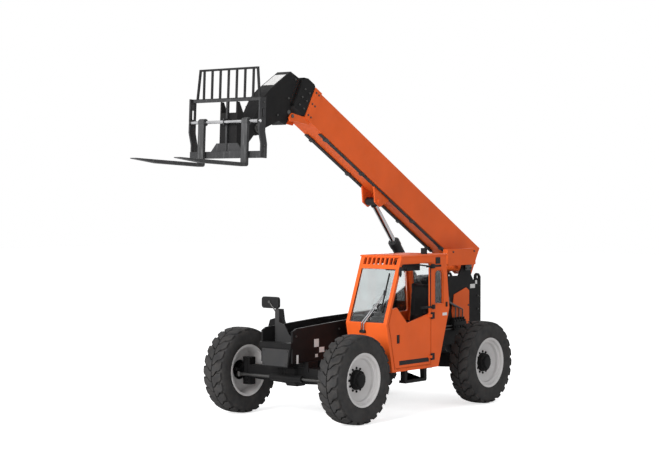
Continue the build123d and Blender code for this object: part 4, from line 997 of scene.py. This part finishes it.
# %% Fittings on the boom head
head_front = boom_at(5.205, 0, 0.465)
head_slope = (boom_at(5.464, 0, 0.0) - head_front).normalized()
head_places = [(5.060, 0.420), (5.060, 0.100), (5.150, -0.240), (5.330, -0.540), (5.530, -0.330)]
shape = bmesh.new()
add_plate(shape, rectangle(0.095, 0.400, -0.105, 0.105), 0.003, axes_at(head_front, head_slope))
keep_piece(shape, "head_blank_plate", "boom_head", "rim_paint", "pale_plate")
shape = bmesh.new()
add_side_bolts(shape, head_places, HEAD_Y, 0.026)
for side in (1, -1):
    add_rod(shape, boom_at(4.955, side * 0.127, -0.075), boom_at(4.955, side * 0.136, -0.075), 0.034, 32)
keep_piece(shape, "head_bolts", "boom_head", "dark_steel")
shape = bmesh.new()
add_band(shape, 4.953, 4.999, (0.133, 0.067, 0.488), (0.126, 0.073, 0.482), 0.002)
keep_piece(shape, "head_end_band", "boom_head", "black_paint")
print("boom fittings ready")

# %% Oil lines under the boom
LINE_V = 0.013
CLAMP_Y, CLAMP_V = 0.134, -0.006
shape = bmesh.new()
for side in (1, -1):
    for y in (0.150, 0.118):
        add_rod(shape, boom_at(0.470, side * y, LINE_V), boom_at(4.190, side * y, LINE_V), 0.0125, 12)
    y = side * CLAMP_Y
    for u in (0.570, 1.480, 2.990, 3.995):
        add_block(shape, (u, y - 0.042, CLAMP_V), (u + 0.060, y + 0.036, 0.031), 0.005, on_boom)
        add_bolt(shape, boom_at(u + 0.030, y, CLAMP_V), -boom_up, 0.018)
keep_piece(shape, "boom_oil_lines", "boom", "grey_steel", instead_of=["boom_lines"])
print("oil lines ready")

# %% [markdown]
# ## Carriage
# The tines hang on a round shaft between the carriage's side plates and slide along it. Collars hold the
# shaft's ends, and the tilt pin has a round head with a keeper plate on each side of the coupler.

# %% Shaft collars and tilt pin
PIN_IN, KEEPER_OUT, PIN_OUT = 0.161, 0.182, 0.194
tilt_pin = Vector(joints["fork_tilt"]["pos_m"])
shaft_low, shaft_high = box_corners("fork_shaft")
shaft_middle = (shaft_low + shaft_high) / 2
shape = bmesh.new()
for side in (1, -1):
    out = ACROSS * side
    end = shaft_middle + out * 0.645
    add_rod(shape, end - out * 0.007, end, 0.040, 32)
    add_rod(shape, tilt_pin + out * PIN_IN, tilt_pin + out * KEEPER_OUT, 0.066, 36)
    add_rod(shape, tilt_pin + out * PIN_IN, tilt_pin + out * PIN_OUT, 0.036, 32)
    for turn in (0.6, 0.6 + pi):
        place = tilt_pin + Vector((0.050 * cos(turn), side * KEEPER_OUT, 0.050 * sin(turn)))
        add_bolt(shape, place, out, 0.018)
    for z in (-0.34, -0.42, 0.26):
        add_bolt(shape, shaft_middle + Vector((-0.07, side * 0.670, z)), out, 0.022)
keep_piece(shape, "carriage_pins", "carriage", "dark_steel")
print("carriage fittings ready")

# %% [markdown]
# ## Frame
# The main frame is two tall plates. On them sit the boom pin's keeper plates, bolted covers, small blank
# plates and the hydraulic valve bank above the rear axle, from which rigid steel pipes run up to the
# boom.

# %% Keeper plates and cover bolts
PLATE_Y, PIN_END_Y, COVER_Y = 0.300, 0.325, 0.420
KEEPER_THICK = 0.012
plate_bolts = [(-1.10, 1.62), (-1.10, 1.40), (-1.10, 1.18), (2.60, 1.30), (2.60, 1.00), (3.60, 1.25)]
boom_pin = Vector(joints["boom_lift"]["pos_m"])
shape = bmesh.new()
for side in (1, -1):
    out = ACROSS * side
    face = boom_pin + out * PIN_END_Y
    low = face + Vector((-0.085, min(0, side * KEEPER_THICK), -0.060))
    add_block(shape, low, face + Vector((0.085, max(0, side * KEEPER_THICK), 0.030)), 0.004)
    for x in (-0.062, 0.062):
        add_bolt(shape, face + Vector((x, side * KEEPER_THICK, -0.025)), out, 0.026)
    for x, z in plate_bolts:
        add_bolt(shape, at(x, side * PLATE_Y, z), out, 0.028)
cover_low, cover_high = box_corners("side_cover")
for x in (cover_low.x + 0.030, cover_high.x - 0.050):
    for share in (0.12, 0.55):
        z = cover_low.z + share * (cover_high.z - cover_low.z)
        add_bolt(shape, (x, cover_high.y, z), ACROSS, 0.024)
for x in (-0.810, -0.209):
    add_bolt(shape, at(x, COVER_Y, 2.370), ACROSS, 0.026)
keep_piece(shape, "frame_bolts", "chassis", "dark_steel")

# %% Blank plates
blank_plates = [(3.082, 3.188, 1.066, 1.182), (2.955, 3.070, 0.980, 1.056), (3.104, 3.164, 0.916, 0.962),
                (3.548, 3.590, 0.850, 0.978), (-1.016, -0.876, 1.750, 1.818), (-1.078, -1.024, 1.815, 1.876)]
shape = bmesh.new()
for sides in blank_plates:
    add_plate(shape, rectangle(*sides), 0.002, on_side(PLATE_Y))
keep_piece(shape, "frame_blank_plates", "chassis", "rim_paint", "pale_plate")

# %% Front panel and mirror brace
PANEL_X, PANEL_THICK = 3.705, 0.006
BRACE_X, BRACE_Y, BRACE_THICK = 3.400, -0.268, 0.008
panel = [(-0.255, 1.060), (-0.255, 0.812), (0.222, 0.812), (0.255, 1.060)]
brace = [(BRACE_Y, 1.600), (BRACE_Y, 1.100), (0.150, 1.100), (0.140, 1.150), (0.002, 1.247), (-0.086, 1.390),
         (-0.190, 1.420), (-0.190, 1.600), (-0.200, 1.612), (-0.256, 1.612)]
gusset = [(BRACE_X, 1.120), (BRACE_X, 1.590), (3.130, 1.300), (3.130, 1.120)]
shape = bmesh.new()
add_plate(shape, panel, PANEL_THICK, on_front(PANEL_X))
for y, z in ((-0.225, 1.035), (0.225, 1.035), (-0.225, 0.837), (0.197, 0.837)):
    add_bolt(shape, at(PANEL_X + PANEL_THICK, y, z), Vector((1, 0, 0)), 0.020)
add_plate(shape, brace, BRACE_THICK, on_front(BRACE_X))
add_plate(shape, gusset, BRACE_THICK, on_side(BRACE_Y))
# painted light: the panel, brace and gusset take dark grey, lighter than the frame's black paint, as painted
# highlight standing in for their lit fronts
keep_piece(shape, "front_panel_and_brace", "chassis", "black_paint", "dark_grey")
print("front panel ready")

# %% Valve bank
VALVES = 5
VALVE_Y, PIPE_Y, PIPE_R = 0.350, 0.330, 0.011
shape = bmesh.new()
add_block(shape, at(-0.640, PLATE_Y, 1.090), at(-0.280, 0.395, 1.230), 0.008)
for count in range(VALVES):
    x = -0.600 + 0.070 * count
    add_rod(shape, at(x, VALVE_Y, 1.225), at(x, VALVE_Y, 1.300), 0.022, 20)
    add_block(shape, at(x - 0.026, 0.310, 1.228), at(x + 0.026, 0.388, 1.262), 0.005)
    add_rod(shape, at(x, 0.390, 1.150), at(x, 0.418, 1.150), 0.020, 6)
keep_piece(shape, "valve_bank", "chassis", "black_paint")
shape = bmesh.new()
for count in range(3):
    x, lift = -0.580 + 0.100 * count, 0.03 * count
    add_path(shape, [at(x, VALVE_Y, 1.290), at(x, VALVE_Y, 1.420 + lift), at(x + 0.34, 0.322, 1.560 + lift),
                     at(x + 0.34, 0.312, 1.640)], PIPE_R)
for z in (1.12, 1.17):
    add_path(shape, [at(-0.290, VALVE_Y, z), at(0.30, VALVE_Y, z), at(0.420, PIPE_Y, z - 0.02),
                     at(0.775, PIPE_Y, z - 0.02)], PIPE_R)
keep_piece(shape, "valve_pipes", "chassis", "dark_steel")
print("frame fittings ready")

# %% [markdown]
# ## Axles
# Each axle has a round cover on its gear housing, closed by a ring of bolts, and a steering cylinder
# across it. The steering rods end in ball joints on the knuckle arms.

# %% Gear covers and ball joints
GEAR_BOLTS = 12
GEAR_X = 0.150
cover_outline = [(0.0, 0.0), (0.0, 0.135), (0.018, 0.135), (0.024, 0.118), (0.050, 0.104), (0.058, 0.090),
                 (0.060, 0.0)]
for axle_name, rim_name, ahead in (("front", "rim_fl", 1), ("rear", "rim_rl", -1)):
    wheel_low, wheel_high = box_corners(rim_name)
    middle = Vector(((wheel_low.x + wheel_high.x) / 2, 0, AXLE_Z))
    shape = bmesh.new()
    spin_outline(shape, cover_outline, 40, closed=False)
    add_bolt_ring(shape, GEAR_BOLTS, 0.123, 0.018, 0.016)
    back = Matrix.Translation(middle - Vector((ahead * GEAR_X, 0, 0)))
    facing = Matrix.Rotation(ahead * pi / 2, 4, "Z")
    bmesh.ops.transform(shape, matrix=back @ facing, verts=shape.verts)
    keep_piece(shape, axle_name + "_gear_cover", "chassis", "black_paint")
    rod_low, rod_high = box_corners("steer_rod_" + axle_name)
    rod_middle = (rod_low + rod_high) / 2
    shape = bmesh.new()
    for side in (1, -1):
        eye = Vector((rod_middle.x, side * (rod_high.y - 0.030), rod_middle.z))
        add_rod(shape, eye - Vector((0, 0, 0.034)), eye + Vector((0, 0, 0.034)), 0.030, 20)
        add_rod(shape, eye - ACROSS * side * 0.150, eye - ACROSS * side * 0.020, 0.027, 6)
    keep_piece(shape, axle_name + "_rod_ends", axle_name + "_steer_rod", "dark_steel")
print("axle fittings ready")

# %% [markdown]
# ## Engine side
# The hood on the right is sheet metal with latches and a handle. The exhaust is a turned pipe whose
# outlet is cut at a slant: the pipe is spun, and a plane then bisects it.

# %% Hood latches and handle
HANDLE_Z = 0.99
hood_low, hood_high = box_corners("engine_hood")
wall, foot = hood_low.y, hood_low.z
shape = bmesh.new()
for share in (0.06, 0.50, 0.94):
    x = hood_low.x + share * (hood_high.x - hood_low.x)
    add_block(shape, (x - 0.022, wall - 0.010, foot + 0.030), (x + 0.022, wall + 0.004, foot + 0.120), 0.004)
    add_rod(shape, (x, wall - 0.012, foot + 0.075), (x, wall, foot + 0.075), 0.014, 16)
handle = [(0.72, 0.002), (0.72, -0.030), (0.90, -0.030), (0.90, 0.002)]
add_path(shape, [(hood_low.x + x, wall + y, HANDLE_Z) for x, y in handle], 0.009)
keep_piece(shape, "hood_latches", "chassis", "black_plastic")

# %% Exhaust
PIPE_OUTSIDE, PIPE_INSIDE = 0.0455, 0.0405
stack_low, stack_high = box_corners("exhaust_stack")
stack_middle = (stack_low + stack_high) / 2
STACK_TALL = stack_high.z - stack_low.z
stack_outline = [(0.0, 0.062), (0.012, 0.064), (0.056, 0.060), (0.062, PIPE_OUTSIDE),
                 (STACK_TALL, PIPE_OUTSIDE), (STACK_TALL, PIPE_INSIDE), (0.070, PIPE_INSIDE), (0.070, 0.0)]
stack_foot = Matrix.Translation((stack_middle.x, stack_middle.y, stack_low.z))
shape = turned(stack_outline, 40, stack_foot @ Matrix.Rotation(pi / 2, 4, "X"))
everything = list(shape.verts) + list(shape.edges) + list(shape.faces)
outlet = (stack_middle.x, stack_middle.y, stack_high.z - 0.030)
bmesh.ops.bisect_plane(shape, geom=everything, plane_co=outlet, plane_no=(-0.42, 0, 0.907), clear_outer=True)
keep_piece(shape, "exhaust_pipe", "chassis", "dark_steel", instead_of=["exhaust_stack"])
print("engine side ready")

# %% [markdown]
# ## Mirror
# The mirror looks back past the boom. Its shell is the CAD solid. A round arm with a ball joint holds it,
# and the glass is a thin polished plate on its rear side.

# %% Mirror arm and glass
MIRROR_RIM = 0.020
mirror_low, mirror_high = box_corners("mirror_head")
shape = bmesh.new()
add_path(shape, [at(3.088, -0.500, 1.500), at(3.132, -0.500, 1.560), at(3.132, -0.620, 1.690)], 0.010)
add_rod(shape, at(3.120, -0.620, 1.690), at(3.140, -0.620, 1.690), 0.022, 20)
keep_piece(shape, "mirror_arm", "chassis", "dark_steel")
shape = bmesh.new()
glass_low = (mirror_low.x - 0.003, mirror_low.y + MIRROR_RIM, 1.614)
glass_high = (mirror_low.x + 0.004, mirror_high.y - MIRROR_RIM, mirror_high.z - MIRROR_RIM)
add_block(shape, glass_low, glass_high, 0.002)
keep_piece(shape, "mirror_glass", "chassis", "bright_steel")
print("mirror ready")
